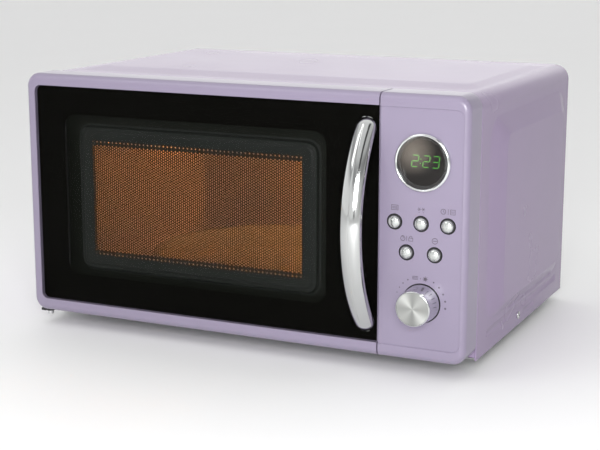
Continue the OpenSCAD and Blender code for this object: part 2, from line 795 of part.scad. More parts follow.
module glass_tray() {
    color([0.85, 0.92, 0.92, 0.5]) translate([tray_x, tray_y, tray_z]) {
        rotate_extrude($fn = 128) polygon([[0, 0], [tray_r - 14, 0], [tray_r - 3, tray_rim_h - 2.5],
            [tray_r, tray_rim_h - 2.5], [tray_r, tray_rim_h + 1], [tray_r - 4.5, tray_rim_h + 1],
            [tray_r - 15.5, tray_t], [0, tray_t]]);
        for (turn = [90, 210, 330]) rotate([0, 0, turn])
            translate([13, -3.5, lug_z0 - tray_z]) cube([9, 7, tray_z - lug_z0 + 1]);
    }
}

module roller_ring() {
    color("whitesmoke") translate([tray_x, tray_y, axle_z]) {
        difference() {
            rod_z(0, 0, -3, 3, ring_out_r);
            rod_z(0, 0, -4, 4, ring_in_r);
        }
        for (turn = [90, 210, 330]) rotate([0, 0, turn]) {
            rod_x(ring_out_r - 2, track_r + roller_w / 2 + 3, 0, 0, axle_r);
            rod_x(track_r + roller_w / 2 + 1, track_r + roller_w / 2 + 3, 0, 0, axle_r + 1.2);
        }
    }
}

module roller(turn) {
    color("white") translate([tray_x, tray_y, axle_z]) rotate([0, 0, turn]) difference() {
        rod_x(track_r - roller_w / 2, track_r + roller_w / 2, 0, 0, roller_r);
        rod_x(track_r - roller_w, track_r + roller_w, 0, 0, axle_r + fit_gap);
    }
}

module roller_rear() { roller(90); }
module roller_left() { roller(210); }
module roller_right() { roller(330); }

// ---- Components ----

module waveguide() {
    color("silver") difference() {
        block(bay_x0, yoke_x0, guide_y0, guide_y1, guide_z0, guide_z1);
        block(bay_x0 - 1, yoke_x0 - sheet, guide_y0 + sheet, guide_y1 - sheet, guide_z0 + sheet,
              guide_z1 - sheet);
        rod_x(yoke_x0 - 4, yoke_x0 + 1, tube_y, tube_z, 12);
    }
}

module waveguide_cover() {
    color("lightgray")
        block(cavity_x1 - 0.8, cavity_x1, tube_y - 42, tube_y + 42, guide_z0 + 4, guide_z1 - 4);
}

// Antenna, anode barrel, cooling fins and filter box
module magnetron_core() {
    color("gray") {
        rod_x(yoke_x0 - 16, yoke_x0 + 3, tube_y, tube_z, 8);
        rod_x(yoke_x0 + 3, yoke_x1 - 2, tube_y, tube_z, 19);
        for (i = [0 : 5]) block(yoke_x0 + 12 + 5 * i, yoke_x0 + 13 + 5 * i, tube_y - 40, tube_y + 40,
                                tube_z - 30, tube_z + 30);
        block(yoke_x1, yoke_x1 + 20, tube_y - 30, tube_y + 30, tube_z - 30, tube_z + 30);
        rod_x(yoke_x1 - 2, yoke_x1, tube_y, tube_z, 12);
    }
}

module magnetron_yoke() {
    color("silver") difference() {
        block(yoke_x0, yoke_x1, guide_y0 + 1, guide_y1 - 1, guide_z0 + 1, guide_z1 - 1);
        block(yoke_x0 + 2, yoke_x1 - 2, guide_y0, guide_y1, guide_z0 + 3, guide_z1 - 3);
        rod_x(yoke_x0 - 1, yoke_x0 + 4, tube_y, tube_z, 12);
        rod_x(yoke_x1 - 4, yoke_x1 + 1, tube_y, tube_z, 14);
    }
}

// Laminated steel core with two windows for the windings
module transformer_core() {
    x = bay_mid_x;
    y0 = front_y + 84;
    color("slategray") difference() {
        block(x - 43, x + 43, y0, y0 + 50, pan_top_z, pan_top_z + 76);
        for (s = [-1, 1])
            block(x + 22 * s - 8, x + 22 * s + 8, y0 - 1, y0 + 51, pan_top_z + 14, pan_top_z + 62);
    }
}

module transformer_windings() {
    x = bay_mid_x;
    y0 = front_y + 84;
    for (part = [[14.2, 36], [37, 61.8]]) color("orangered") difference() {
        block(x - 29.8, x + 29.8, y0 - 16, y0 + 66, pan_top_z + part[0], pan_top_z + part[1]);
        block(x - 14.2, x + 14.2, y0 - 0.2, y0 + 50.2, pan_top_z, pan_top_z + 76);
    }
}

// Flattened round can: two half circles joined by a straight stretch
module capacitor_outline(grow) {
    r = 17;
    z0 = pan_top_z + 4 + r;
    z1 = z0 + 20;
    for (z = [z0, z1]) translate([r, z]) circle(r + grow);
    translate([-grow, z0]) square([2 * (r + grow), z1 - z0]);
}

module capacitor() {
    x = bay_mid_x;
    y = rear_y - 84;
    color("silver") {
        translate([x - 44, y, 0]) rotate([90, 0, 90]) linear_extrude(80) capacitor_outline(0);
        for (z = [20, 40]) block(x - 52, x - 44, y + 14, y + 20, pan_top_z + z, pan_top_z + z + 1);
    }
}

module capacitor_clamp() {
    x = bay_mid_x;
    y = rear_y - 84;
    color("gainsboro") {
        difference() {
            translate([x - 8, y, 0]) rotate([90, 0, 90]) linear_extrude(14) capacitor_outline(1.2);
            translate([x - 9, y, 0]) rotate([90, 0, 90]) linear_extrude(16) capacitor_outline(0.1);
        }
        block(x - 8, x + 6, y + 12, y + 22, pan_top_z, pan_top_z + 2.9);
    }
}

module high_voltage_diode() {
    x = bay_mid_x - 8;
    color("black") {
        rod_x(x - 12, x + 12, rear_y - 36, pan_top_z + 8, 4);
        block(x + 12, x + 22, rear_y - 39, rear_y - 33, pan_top_z + 7.5, pan_top_z + 8.5);
        block(x + 20, x + 22, rear_y - 39, rear_y - 33, pan_top_z, pan_top_z + 8.5);
    }
}

module fan_shroud() {
    color("gray") difference() {
        block(bay_mid_x - 50, bay_mid_x + 50, fan_y0 + 4, panel_front_y, fan_z - 50, fan_z + 50);
        rod_y(bay_mid_x, fan_y0 - 1, panel_front_y + 1, fan_z, fan_r + 3);
    }
}

// Motor in front of the fan, carried by two arms on the shroud
module fan_motor() {
    y0 = fan_y0 - 26;
    color("slategray") difference() {
        union() {
            block(bay_mid_x - 22, bay_mid_x + 22, y0, y0 + 18, fan_z - 28, fan_z + 28);
            rod_y(bay_mid_x, y0 - 6, y0 + 23, fan_z, 12);
            for (s = [-1, 1]) {
                block(bay_mid_x - 5, bay_mid_x + 5, y0 + 14, y0 + 16, fan_z + s * 38 - 10,
                      fan_z + s * 38 + 10);
                block(bay_mid_x - 5, bay_mid_x + 5, y0 + 14, fan_y0 + 4, fan_z + s * 47 - 1,
                      fan_z + s * 47 + 1);
            }
        }
        rod_y(bay_mid_x, y0 + 4, y0 + 30, fan_z, 2 + fit_gap);
    }
}

module fan_blade() {
    color("white") {
        rod_y(bay_mid_x, fan_y0 - 18, fan_y0 + 14, fan_z, 2);
        rod_y(bay_mid_x, fan_y0, fan_y0 + 16, fan_z, 11);
        for (turn = [0 : 72 : 288]) translate([bay_mid_x, fan_y0 + 8, fan_z]) rotate([0, turn, 0])
            rotate([35, 0, 0]) translate([8, -9, -0.8]) cube([fan_r - 10, 18, 1.6]);
    }
}

module oven_lamp() {
    color("lightyellow") {
        translate([bay_x0 + 16, lamp_y, lamp_z]) sphere(10, $fn = 48);
        rod_y(bay_x0 + 16, lamp_y + 6, lamp_y + 22, lamp_z, 7);
    }
}

module lamp_holder() {
    color("white") difference() {
        block(bay_x0, bay_x0 + 30, lamp_y + 16, lamp_y + 30, lamp_z - 14, lamp_z + 14);
        rod_y(bay_x0 + 16, lamp_y + 10, lamp_y + 22, lamp_z, 7.1);
    }
}

module thermal_cutout() {
    color("black") {
        rod_z(tray_x + 60, tray_y, cavity_z1 + cavity_wall, cavity_z1 + cavity_wall + 6, 8);
        block(tray_x + 48, tray_x + 72, tray_y - 4, tray_y + 4, cavity_z1 + cavity_wall,
              cavity_z1 + cavity_wall + 1);
    }
}

module line_filter_board() {
    x = bay_mid_x;
    y = panel_front_y;
    z = base_z + 68;
    color("darkgreen") {
        block(x - 42, x + 42, y - 6, y - 4.4, z, z + 36);
        for (s = [-1, 1]) rod_y(x + 36 * s, y - 4.4, y, z + 18, 3);
        rod_y(x - 18, y - 18, y - 6, z + 18, 12);
        block(x + 6, x + 30, y - 20, y - 6, z + 8, z + 28);
    }
}

module interlock_bracket() {
    x = latch_bar_x + latch_bar_w + 7;
    y1 = frame_back_y + 26;
    color("white") difference() {
        union() {
            block(x, x + 2, frame_back_y, y1, hook_z[0] - 14, hook_z[1] + 24);
            block(bay_x0 + 2, x, frame_back_y, frame_back_y + 2, hook_z[0] - 14, hook_z[1] + 24);
            for (z = hook_z) block(bay_x0 + 2, x, frame_back_y + 2, y1, z - 8, z - 6);
        }
        for (z = hook_z) block(latch_bar_x - 4, latch_bar_x + latch_bar_w + 5, frame_back_y - 1,
                               frame_back_y + 3,
                               z - 3, z + hook_h + 3 + latch_travel);
    }
}

module interlock_switches() {
    x = latch_bar_x + latch_bar_w + 9;
    color("black") for (z = [hook_z[0] - 4, hook_z[0] + 12, hook_z[1] - 4])
        block(x, x + 6.4, frame_back_y + 5, frame_back_y + 25, z, z + 10);
}

cabinet_cover();
base_pan();
rear_panel();
cavity_liner();
front_frame();
feet();
cover_screws();
cord_inlet();
upper_hinge();
lower_hinge();
waveguide();
waveguide_cover();
magnetron_core();
magnetron_yoke();
transformer_core();
transformer_windings();
capacitor();
capacitor_clamp();
high_voltage_diode();
fan_shroud();
fan_motor();
oven_lamp();
lamp_holder();
turntable_motor();
thermal_cutout();
line_filter_board();
interlock_bracket();
interlock_switches();
control_panel();
control_board();
display_module();
display_bezel();
display_lens();
encoder_body();
tact_switches();
door_frame();
door_glass();
door_screen();
door_choke_cover();
door_inner_window();
hinge_bushes();
handle();
handle_screws();
latch_spring();
latch_bar();
button_upper_left();
button_upper_middle();
button_upper_right();
button_lower_left();
button_lower_right();
knob();
knob_shaft();
drive_coupler();
turntable_shaft();
glass_tray();
roller_ring();
roller_rear();
roller_left();
roller_right();
fan_blade();
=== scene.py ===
"""Looks of a countertop microwave oven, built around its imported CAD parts.

Lengths in the code are millimetres in the part's own frame (+X right, +Y back, +Z up, front at -Y).
make_mesh() turns them into metres.
"""
import math

import bmesh
import bpy
from mathutils import Matrix, Vector
from mathutils.geometry import delaunay_2d_cdt


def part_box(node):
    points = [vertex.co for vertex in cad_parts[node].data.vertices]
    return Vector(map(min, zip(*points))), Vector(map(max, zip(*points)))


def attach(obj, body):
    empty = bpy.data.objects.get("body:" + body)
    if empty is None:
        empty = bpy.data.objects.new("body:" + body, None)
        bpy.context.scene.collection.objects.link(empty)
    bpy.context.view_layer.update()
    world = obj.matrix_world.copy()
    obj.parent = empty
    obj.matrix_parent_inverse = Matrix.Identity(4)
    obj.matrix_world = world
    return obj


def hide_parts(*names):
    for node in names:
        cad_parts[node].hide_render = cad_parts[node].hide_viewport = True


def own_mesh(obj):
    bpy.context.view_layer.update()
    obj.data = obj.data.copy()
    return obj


MM = 0.001
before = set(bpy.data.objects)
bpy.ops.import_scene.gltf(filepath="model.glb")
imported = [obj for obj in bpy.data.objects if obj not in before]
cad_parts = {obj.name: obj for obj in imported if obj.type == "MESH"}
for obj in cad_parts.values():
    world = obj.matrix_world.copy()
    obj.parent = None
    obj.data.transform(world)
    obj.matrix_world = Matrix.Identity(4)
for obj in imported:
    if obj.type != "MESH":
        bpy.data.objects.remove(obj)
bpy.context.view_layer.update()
scene = bpy.context.scene


def box_mm(node):
    lo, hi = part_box(node)
    return [c / MM for c in lo], [c / MM for c in hi]


# ---- Places taken from the frame ----

door_lo, door_hi = box_mm("door_frame")
panel_lo, panel_hi = box_mm("control_panel")
cover_lo, cover_hi = box_mm("cabinet_cover")
glass_lo, glass_hi = box_mm("door_glass")
screen_lo, screen_hi = box_mm("door_screen")
handle_lo, handle_hi = box_mm("handle")
ring_lo, ring_hi = box_mm("display_bezel")
lens_lo, lens_hi = box_mm("display_lens")
knob_lo, knob_hi = box_mm("knob")
inner_lo, inner_hi = box_mm("door_inner_window")
liner_right = box_mm("cavity_liner")[1][0]

LEFT, RIGHT, FRONT = door_lo[0], panel_hi[0], door_lo[1]
DOOR_X1, DOOR_Z0, DOOR_Z1 = door_hi[0], door_lo[2], door_hi[2]
DOOR_BACK = door_hi[1]
PANEL_X0, PANEL_BACK = panel_lo[0], panel_hi[1]
MID_Z = (DOOR_Z0 + DOOR_Z1) / 2
BASE_Z = cover_lo[2]
FACE_Y = FRONT + 1.2
RIM = 12.0
WINDOW_X = (inner_lo[0] + inner_hi[0]) / 2
KNOB = ((knob_lo[0] + knob_hi[0]) / 2, (knob_lo[2] + knob_hi[2]) / 2)
RING = ((ring_lo[0] + ring_hi[0]) / 2, (ring_lo[2] + ring_hi[2]) / 2)
HINGE = (LEFT + 12, FRONT + 11)
BUTTONS = {}
for name in ("upper_left", "upper_middle", "upper_right", "lower_left", "lower_right"):
    lo, hi = box_mm("button_" + name)
    BUTTONS[name] = ((lo[0] + hi[0]) / 2, (lo[2] + hi[2]) / 2)


# ---- Mesh helpers ----

def make_mesh(name, verts, faces):
    mesh = bpy.data.meshes.new(name)
    mesh.from_pydata([[c * MM for c in v] for v in verts], [], faces)
    bm = bmesh.new()
    bm.from_mesh(mesh)
    bmesh.ops.remove_doubles(bm, verts=bm.verts, dist=1e-7)
    bmesh.ops.recalc_face_normals(bm, faces=bm.faces)
    bm.to_mesh(mesh)
    bm.free()
    obj = bpy.data.objects.new(name, mesh)
    scene.collection.objects.link(obj)
    return obj


def outline(a0, a1, b0, b1, r, n=8):
    """Rounded rectangle, anticlockwise. r is one radius, or four: low left, low right, high right,
    high left."""
    radii = r if isinstance(r, (list, tuple)) else [r] * 4
    corners = [(a0, b0, 1, 1, 180), (a1, b0, -1, 1, 270), (a1, b1, -1, -1, 0), (a0, b1, 1, -1, 90)]
    points = []
    for (a, b, sa, sb, start), radius in zip(corners, radii):
        radius = max(radius, 0.02)
        for k in range(n + 1):
            t = math.radians(start + 90 * k / n)
            points.append((a + sa * radius + radius * math.cos(t),
                           b + sb * radius + radius * math.sin(t)))
    return points


def circle(a, b, r, n=48):
    return [(a + r * math.cos(2 * math.pi * k / n), b + r * math.sin(2 * math.pi * k / n))
            for k in range(n)]


def facing(points, y):
    return [(a, y, b) for a, b in points]


def flat(points, z):
    return [(a, b, z) for a, b in points]


def sideways(points, x):
    return [(x, a, b) for a, b in points]


def loft(name, rings, capped=True, closed=False):
    n = len(rings[0])
    verts = [p for ring in rings for p in ring]
    faces = []
    last = len(rings) if closed else len(rings) - 1
    for i in range(last):
        a, b = i * n, ((i + 1) % len(rings)) * n
        for k in range(n):
            m = (k + 1) % n
            faces.append((a + k, a + m, b + m, b + k))
    if capped and not closed:
        faces.append(tuple(range(n)))
        faces.append(tuple(range((len(rings) - 1) * n, len(rings) * n)))
    return make_mesh(name, verts, faces)


def prism(points, y0, y1, name="cutter"):
    return loft(name, [facing(points, y0), facing(points, y1)])


def upright(points, z0, z1, name="cutter"):
    return loft(name, [flat(points, z0), flat(points, z1)])


def block(x0, x1, y0, y1, z0, z1, name="cutter"):
    return prism([(x0, z0), (x1, z0), (x1, z1), (x0, z1)], y0, y1, name)


def lathe(name, profile, centre, axis="y", steps=72, closed=False):
    """Turns (radius, height) pairs; height runs to -Y, +Y, +Z, +X or -X with axis y, -y, z, x or -x."""
    cx, cy, cz = centre
    rings = []
    for r, h in profile:
        ring = []
        for k in range(steps):
            t = 2 * math.pi * k / steps
            u, v = r * math.cos(t), r * math.sin(t)
            ring.append({"y": (cx + u, cy - h, cz + v), "z": (cx + u, cy + v, cz + h),
                         "x": (cx + h, cy + u, cz + v), "-x": (cx - h, cy + u, cz + v),
                         "-y": (cx + u, cy + h, cz + v)}[axis])
        rings.append(ring)
    return loft(name, rings, capped=not closed, closed=closed)


def cut(target, cutters, operation="DIFFERENCE"):
    for c in cutters:
        mod = target.modifiers.new("cut", "BOOLEAN")
        mod.object, mod.operation, mod.solver = c, operation, "EXACT"
    view = bpy.context.evaluated_depsgraph_get()
    mesh = bpy.data.meshes.new_from_object(target.evaluated_get(view))
    target.modifiers.clear()
    target.data = mesh
    bm = bmesh.new()
    bm.from_mesh(mesh)
    bmesh.ops.remove_doubles(bm, verts=bm.verts, dist=2e-7)
    bmesh.ops.dissolve_degenerate(bm, edges=bm.edges, dist=1e-7)
    bm.to_mesh(mesh)
    bm.free()
    for c in cutters:
        bpy.data.objects.remove(c)
    return target


def join(name, parts):
    bpy.ops.object.select_all(action="DESELECT")
    for p in parts:
        p.select_set(True)
    bpy.context.view_layer.objects.active = parts[0]
    bpy.ops.object.join()
    parts[0].name = name
    return parts[0]


def soften(obj, width, segments=2, angle=32):
    for p in obj.data.polygons:
        p.use_smooth = True
    if width:
        mod = obj.modifiers.new("soft edges", "BEVEL")
        mod.width, mod.segments = width * MM, segments
        mod.limit_method, mod.angle_limit = "ANGLE", math.radians(angle)
        mod.harden_normals = True
        mod.use_clamp_overlap = True
    else:
        obj.data.set_sharp_from_angle(angle=math.radians(angle))


def place(obj, body, material, replaces=(), bevel=0.25, segments=2, angle=32):
    soften(obj, bevel, segments, angle)
    obj.data.materials.clear()
    obj.data.materials.append(material)
    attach(obj, body)
    if replaces:
        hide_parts(*replaces)
    return obj


def second_look(obj, material, chosen):
    """Gives a second material to the faces whose centre passes the test"""
    obj.data.materials.append(material)
    for p in obj.data.polygons:
        if chosen(p.center / MM):
            p.material_index = 1


# ---- Materials ----

BUMP_DEPTH = 0.0002


def set_stops(node, stops):
    """Grey stops, as (position, value), on a colour ramp"""
    node.color_ramp.interpolation = "EASE"
    line = node.color_ramp.elements
    for k, (at, value) in enumerate(stops):
        stop = line[k] if k < 2 else line.new(at)
        stop.position, stop.color = at, (value, value, value, 1)


def surface(name, color, rough=0.4, metal=0.0, vary=0.05, scale=30.0, rough_vary=0.06,
            bump=0.0, bump_scale=900.0, stretch=(1, 1, 1), pattern="", coat=0.0,
            coat_rough=0.1, spec=0.5, alpha=1.0, glow=None, glow_strength=0.0,
            anisotropy=0.0, turned=None, painted_reflection=None):
    """Procedural material in object coordinates. Its colour varies by vary either way. turned is the
    centre of a spun disc whose sheen is painted into the colour as light and dark sectors; the last argument
    gives a painted reflection, a lighter (colour, offset, reach) spot on the display's lens."""
    mat = bpy.data.materials.new(name)
    mat.use_nodes = True
    nodes, links = mat.node_tree.nodes, mat.node_tree.links

    def add(kind, source=None, socket="Vector", **values):
        node = nodes.new("ShaderNode" + kind)
        for label, value in values.items():
            node.inputs[label.replace("_", " ")].default_value = value
        if source is not None:
            links.new(source, node.inputs[socket])
        return node

    def multiply(tone, other, amount):
        shade = nodes.new("ShaderNodeMix")
        shade.data_type, shade.blend_type = "RGBA", "MULTIPLY"
        shade.inputs["Factor"].default_value = amount
        links.new(tone, shade.inputs["A"])
        links.new(other, shade.inputs["B"])
        return shade.outputs["Result"]

    bsdf = nodes["Principled BSDF"]
    for label, value in (("Metallic", metal), ("Coat Weight", coat), ("Coat Roughness", coat_rough),
                         ("Specular IOR Level", spec), ("Anisotropic", anisotropy), ("Alpha", alpha)):
        bsdf.inputs[label].default_value = value
    coords = nodes.new("ShaderNodeTexCoord").outputs["Object"]
    mapped = add("Mapping", coords, Scale=stretch).outputs["Vector"]
    noise = add("TexNoise", mapped, Scale=scale, Detail=4).outputs["Fac"]
    mix = nodes.new("ShaderNodeMix")
    mix.data_type = "RGBA"
    mix.inputs["A"].default_value = [c * (1 - vary) for c in color] + [1]
    mix.inputs["B"].default_value = [min(1, c * (1 + vary)) for c in color] + [1]
    links.new(noise, mix.inputs["Factor"])
    tone = mix.outputs["Result"]
    height = add("TexNoise", mapped, Scale=bump_scale, Detail=3).outputs["Fac"]
    if pattern == "spangle":
        cells = add("TexVoronoi", mapped, Scale=360)
        grey = add("SeparateColor", cells.outputs["Color"], "Color")
        tone = multiply(tone, grey.outputs["Red"], 0.24)
    if pattern == "speckle":
        cells = add("TexNoise", mapped, Scale=520, Detail=1)
        specks = add("ValToRGB", cells.outputs["Fac"], "Fac")
        for stop, at, speck in zip(specks.color_ramp.elements, (0.62, 0.70),
                                   ((1, 1, 1, 1), (0.55, 0.53, 0.5, 1))):
            stop.position, stop.color = at, speck
        tone = multiply(tone, specks.outputs["Color"], 0.8)
    if pattern.startswith("bands"):
        bands = add("TexWave", mapped, Scale=bump_scale, Distortion=0.4)
        bands.wave_type, bands.bands_direction = "BANDS", pattern[-1].upper()
        height = bands.outputs["Fac"]
        tone = multiply(tone, bands.outputs["Color"], 0.45)
    if turned:
        shift = add("Mapping", coords, Location=[-c * MM for c in turned]).outputs["Vector"]
        rings = add("TexWave", shift, Scale=bump_scale, Distortion=0.6, Detail=3, Detail_Scale=2)
        rings.wave_type, rings.rings_direction = "RINGS", "Y"
        height = rings.outputs["Fac"]
        tangent = nodes.new("ShaderNodeTangent")
        tangent.direction_type, tangent.axis = "RADIAL", "Y"
        links.new(tangent.outputs["Tangent"], bsdf.inputs["Tangent"])
        # painted sheen of a spun disc: light and dark sectors round its centre, painted into the base colour
        flat_on = add("Mapping", shift, Rotation=(math.radians(90), 0, 0)).outputs["Vector"]
        sector = add("TexGradient", flat_on)
        sector.gradient_type = "RADIAL"
        painted_sheen = add("ValToRGB", sector.outputs["Fac"], "Fac")
        tones = (0.62, 1.0, 0.50, 0.86, 0.62, 1.0, 0.48, 0.80, 0.62)
        set_stops(painted_sheen, [(k / 8, value) for k, value in enumerate(tones)])
        tone = multiply(tone, painted_sheen.outputs["Color"], 0.85)
    # painted reflection: a lighter spot of colour on the lens where a reflected light would fall
    if painted_reflection:
        light_color, (ox, oz), reach = painted_reflection
        spot = nodes.new("ShaderNodeMapping")
        spot.vector_type = "TEXTURE"
        spot.inputs["Location"].default_value = ((RING[0] + ox) * MM, FACE_Y * MM, (RING[1] + oz) * MM)
        spot.inputs["Scale"].default_value = [reach * MM] * 3
        links.new(coords, spot.inputs["Vector"])
        ball = add("TexGradient", spot.outputs["Vector"])
        ball.gradient_type = "SPHERICAL"
        shade = nodes.new("ShaderNodeMix")
        shade.data_type = "RGBA"
        shade.inputs["B"].default_value = list(light_color) + [1]
        links.new(ball.outputs["Fac"], shade.inputs["Factor"])
        links.new(tone, shade.inputs["A"])
        tone = shade.outputs["Result"]
    links.new(tone, bsdf.inputs["Base Color"])
    spread = add("MapRange", noise, "Value", To_Min=max(0.01, rough - rough_vary),
                 To_Max=min(1, rough + rough_vary))
    links.new(spread.outputs["Result"], bsdf.inputs["Roughness"])
    if bump:
        bumps = add("Bump", height, "Height", Strength=bump, Distance=BUMP_DEPTH)
        links.new(bumps.outputs["Normal"], bsdf.inputs["Normal"])
    if glow:
        bsdf.inputs["Emission Color"].default_value = list(glow) + [1]
        bsdf.inputs["Emission Strength"].default_value = glow_strength
    return mat


LILAC = (0.298, 0.233, 0.355)
M = {
    "paint": surface("lilac_powder_coat", LILAC, 0.26, vary=0.03, scale=14, bump=0.08,
                     bump_scale=620, rough_vary=0.04, spec=0.32),
    "plastic": surface("lilac_moulded_plastic", (0.256, 0.220, 0.308), 0.30, vary=0.02, scale=10,
                       bump=0.06, bump_scale=1500, rough_vary=0.05, coat=0.2, coat_rough=0.15),
    "enamel": surface("cavity_enamel", (0.62, 0.55, 0.46), 0.35, vary=0.05, scale=24,
                      pattern="speckle", bump=0.1, bump_scale=500),
    "zinc": surface("galvanised_sheet", (0.55, 0.56, 0.57), 0.38, metal=0.9, vary=0.06,
                    scale=50, pattern="spangle", bump=0.08, bump_scale=300, rough_vary=0.1),
    "screw": surface("zinc_plated_screw", (0.68, 0.68, 0.69), 0.25, metal=1, vary=0.08,
                     scale=300, bump=0.1, bump_scale=2500, rough_vary=0.08),
    "rubber": surface("black_rubber", (0.018, 0.018, 0.018), 0.75, vary=0.2, scale=80,
                      bump=0.3, bump_scale=1400, spec=0.3),
    "black_steel": surface("black_hinge_steel", (0.03, 0.03, 0.032), 0.4, metal=0.3, vary=0.2,
                           scale=120, bump=0.15, bump_scale=900),
    "mica": surface("mica_sheet", (0.48, 0.42, 0.33), 0.5, vary=0.2, scale=60,
                    pattern="speckle", bump=0.15, bump_scale=350),
    "magnetron": surface("fin_aluminium", (0.6, 0.6, 0.62), 0.35, metal=1, vary=0.08, scale=90,
                         bump=0.15, bump_scale=700),
    "laminated": surface("laminated_core_steel", (0.22, 0.23, 0.25), 0.5, metal=0.8, vary=0.15,
                         scale=60, pattern="bands_y", bump=0.5, bump_scale=320),
    "copper": surface("enamelled_copper_wire", (0.50, 0.17, 0.07), 0.3, metal=0.7, vary=0.15,
                      scale=90, pattern="bands_z", bump=0.6, bump_scale=260, coat=0.5),
    "can": surface("capacitor_can", (0.62, 0.62, 0.64), 0.28, metal=1, vary=0.06, scale=60,
                   stretch=(1, 12, 12), bump=0.12, bump_scale=400),
    "black": surface("black_plastic", (0.025, 0.025, 0.026), 0.5, vary=0.2, scale=90, bump=0.2,
                     bump_scale=1800),
    "grey": surface("grey_plastic", (0.24, 0.24, 0.25), 0.5, vary=0.08, scale=60, bump=0.2,
                    bump_scale=1600),
    "white": surface("white_plastic", (0.70, 0.70, 0.67), 0.4, vary=0.04, scale=60, bump=0.12,
                     bump_scale=1600),
    "board": surface("circuit_board", (0.03, 0.14, 0.06), 0.35, vary=0.35, scale=420, bump=0.3,
                     bump_scale=900, coat=0.3),
    "lamp": surface("warm_lamp_glass", (0.9, 0.6, 0.3), 0.2, vary=0.05, alpha=0.9,
                    glow=(1.0, 0.52, 0.2), glow_strength=2.5),
    "chrome": surface("chrome_plate", (0.78, 0.79, 0.80), 0.10, metal=1, vary=0.03, scale=40,
                      rough_vary=0.03, bump=0.02, bump_scale=160),
    "knob": surface("knob_side_metal", (0.66, 0.67, 0.68), 0.14, metal=1, vary=0.04, scale=60,
                    rough_vary=0.05, bump=0.04, bump_scale=300),
    "spun": surface("spun_knob_face", (0.62, 0.63, 0.61), 0.30, metal=1, vary=0.03, scale=60,
                    rough_vary=0.03, bump=0.04, bump_scale=420, anisotropy=0.7,
                    turned=(KNOB[0], 0, KNOB[1])),
    "button": surface("metallised_button", (0.62, 0.635, 0.625), 0.27, metal=0.9, vary=0.05,
                      scale=120, rough_vary=0.04, bump=0.01, bump_scale=400),
    # the handle's chrome is a darker copy of chrome_plate: painted shade standing in for darker reflections
    "bar": surface("shaded_handle_chrome", (0.60, 0.61, 0.605), 0.11, metal=1, vary=0.03, scale=40,
                   rough_vary=0.03, bump=0.02, bump_scale=160),
    # the smoked lens carries a painted reflection: a lighter spot at its upper left
    "lens": surface("smoked_lens", (0.012, 0.009, 0.008), 0.10, vary=0.1, scale=20, alpha=0.5,
                    rough_vary=0.02, coat=0.0, bump=0.01, bump_scale=90, spec=0.4,
                    painted_reflection=((0.26, 0.225, 0.19), (-8, 9), 21)),
    "glass": surface("smoked_door_glass", (0.004, 0.004, 0.003), 0.05, vary=0.2, scale=12,
                     alpha=0.22, rough_vary=0.02, spec=0.03, bump=0.01, bump_scale=60),
    "print": surface("black_glass_print", (0.0025, 0.0023, 0.002), 0.45, vary=0.3, scale=200,
                     spec=0.02, bump=0.05, bump_scale=2000),
    "ink": surface("panel_ink", (0.09, 0.075, 0.10), 0.6, vary=0.15, scale=900, bump=0.05,
                   bump_scale=2500),
    "clear": surface("inner_window_glass", (0.75, 0.8, 0.78), 0.05, vary=0.03, alpha=0.12,
                     rough_vary=0.02, bump=0.01, bump_scale=60),
    "tray": surface("tray_glass", (0.80, 0.86, 0.84), 0.06, vary=0.03, alpha=0.38,
                    rough_vary=0.03, bump=0.03, bump_scale=120, coat=0.3),
    "screen": surface("painted_screen_steel", (0.019, 0.023, 0.020), 0.42, vary=0.12, scale=60,
                      bump=0.15, bump_scale=900, spec=0.3),
    "flange": surface("painted_flange_steel", (0.010, 0.012, 0.009), 0.5, vary=0.15, scale=60,
                      bump=0.15, bump_scale=900, spec=0.15),
    "digit": surface("lit_digit", (0.1, 0.5, 0.06), 0.5, vary=0.15, scale=500,
                     glow=(0.17, 0.85, 0.10), glow_strength=2.0),
}

CAD_LOOKS = {
    "base_pan": "zinc", "rear_panel": "zinc", "cavity_liner": "enamel", "front_frame": "paint",
    "cord_inlet": "rubber", "upper_hinge": "black_steel", "lower_hinge": "black_steel",
    "waveguide": "zinc", "waveguide_cover": "mica", "magnetron_core": "magnetron",
    "magnetron_yoke": "zinc", "transformer_core": "laminated", "transformer_windings": "copper",
    "capacitor": "can", "capacitor_clamp": "zinc", "high_voltage_diode": "black",
    "fan_shroud": "grey", "fan_motor": "laminated", "oven_lamp": "lamp", "lamp_holder": "white",
    "turntable_motor": "zinc", "thermal_cutout": "black", "line_filter_board": "board",
    "interlock_bracket": "white", "interlock_switches": "black", "control_board": "board",
    "display_module": "black", "encoder_body": "grey", "tact_switches": "black",
    "door_choke_cover": "black", "door_inner_window": "clear", "hinge_bushes": "white",
    "handle_screws": "screw", "latch_bar": "white",
    "knob_shaft": "screw", "drive_coupler": "white", "turntable_shaft": "screw",
    "glass_tray": "tray", "roller_ring": "white", "roller_rear": "white",
    "roller_left": "white", "roller_right": "white", "fan_blade": "white",
}
for node_name, look in CAD_LOOKS.items():
    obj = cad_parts[node_name]
    obj.data.materials.clear()
    obj.data.materials.append(M[look])
    if "custom_normal" in obj.data.attributes:
        obj.data.attributes.remove(obj.data.attributes["custom_normal"])
    weld = obj.modifiers.new("weld", "WELD")
    weld.merge_threshold = 1e-6
    soften(obj, 0.25 if node_name != "magnetron_core" else 0.1, 2, 34)

# the hinges' pins are bare metal, their plates are black
PIN_R = 3.2
for node_name in ("upper_hinge", "lower_hinge"):
    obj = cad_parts[node_name]
    obj.data.materials.append(M["screw"])
    for p in obj.data.polygons:
        spot = obj.matrix_world @ p.center / MM
        if math.hypot(spot.x - HINGE[0], spot.y - HINGE[1]) < PIN_R and abs(p.normal.z) < 0.5:
            p.material_index = 1


# ---- Camera ----

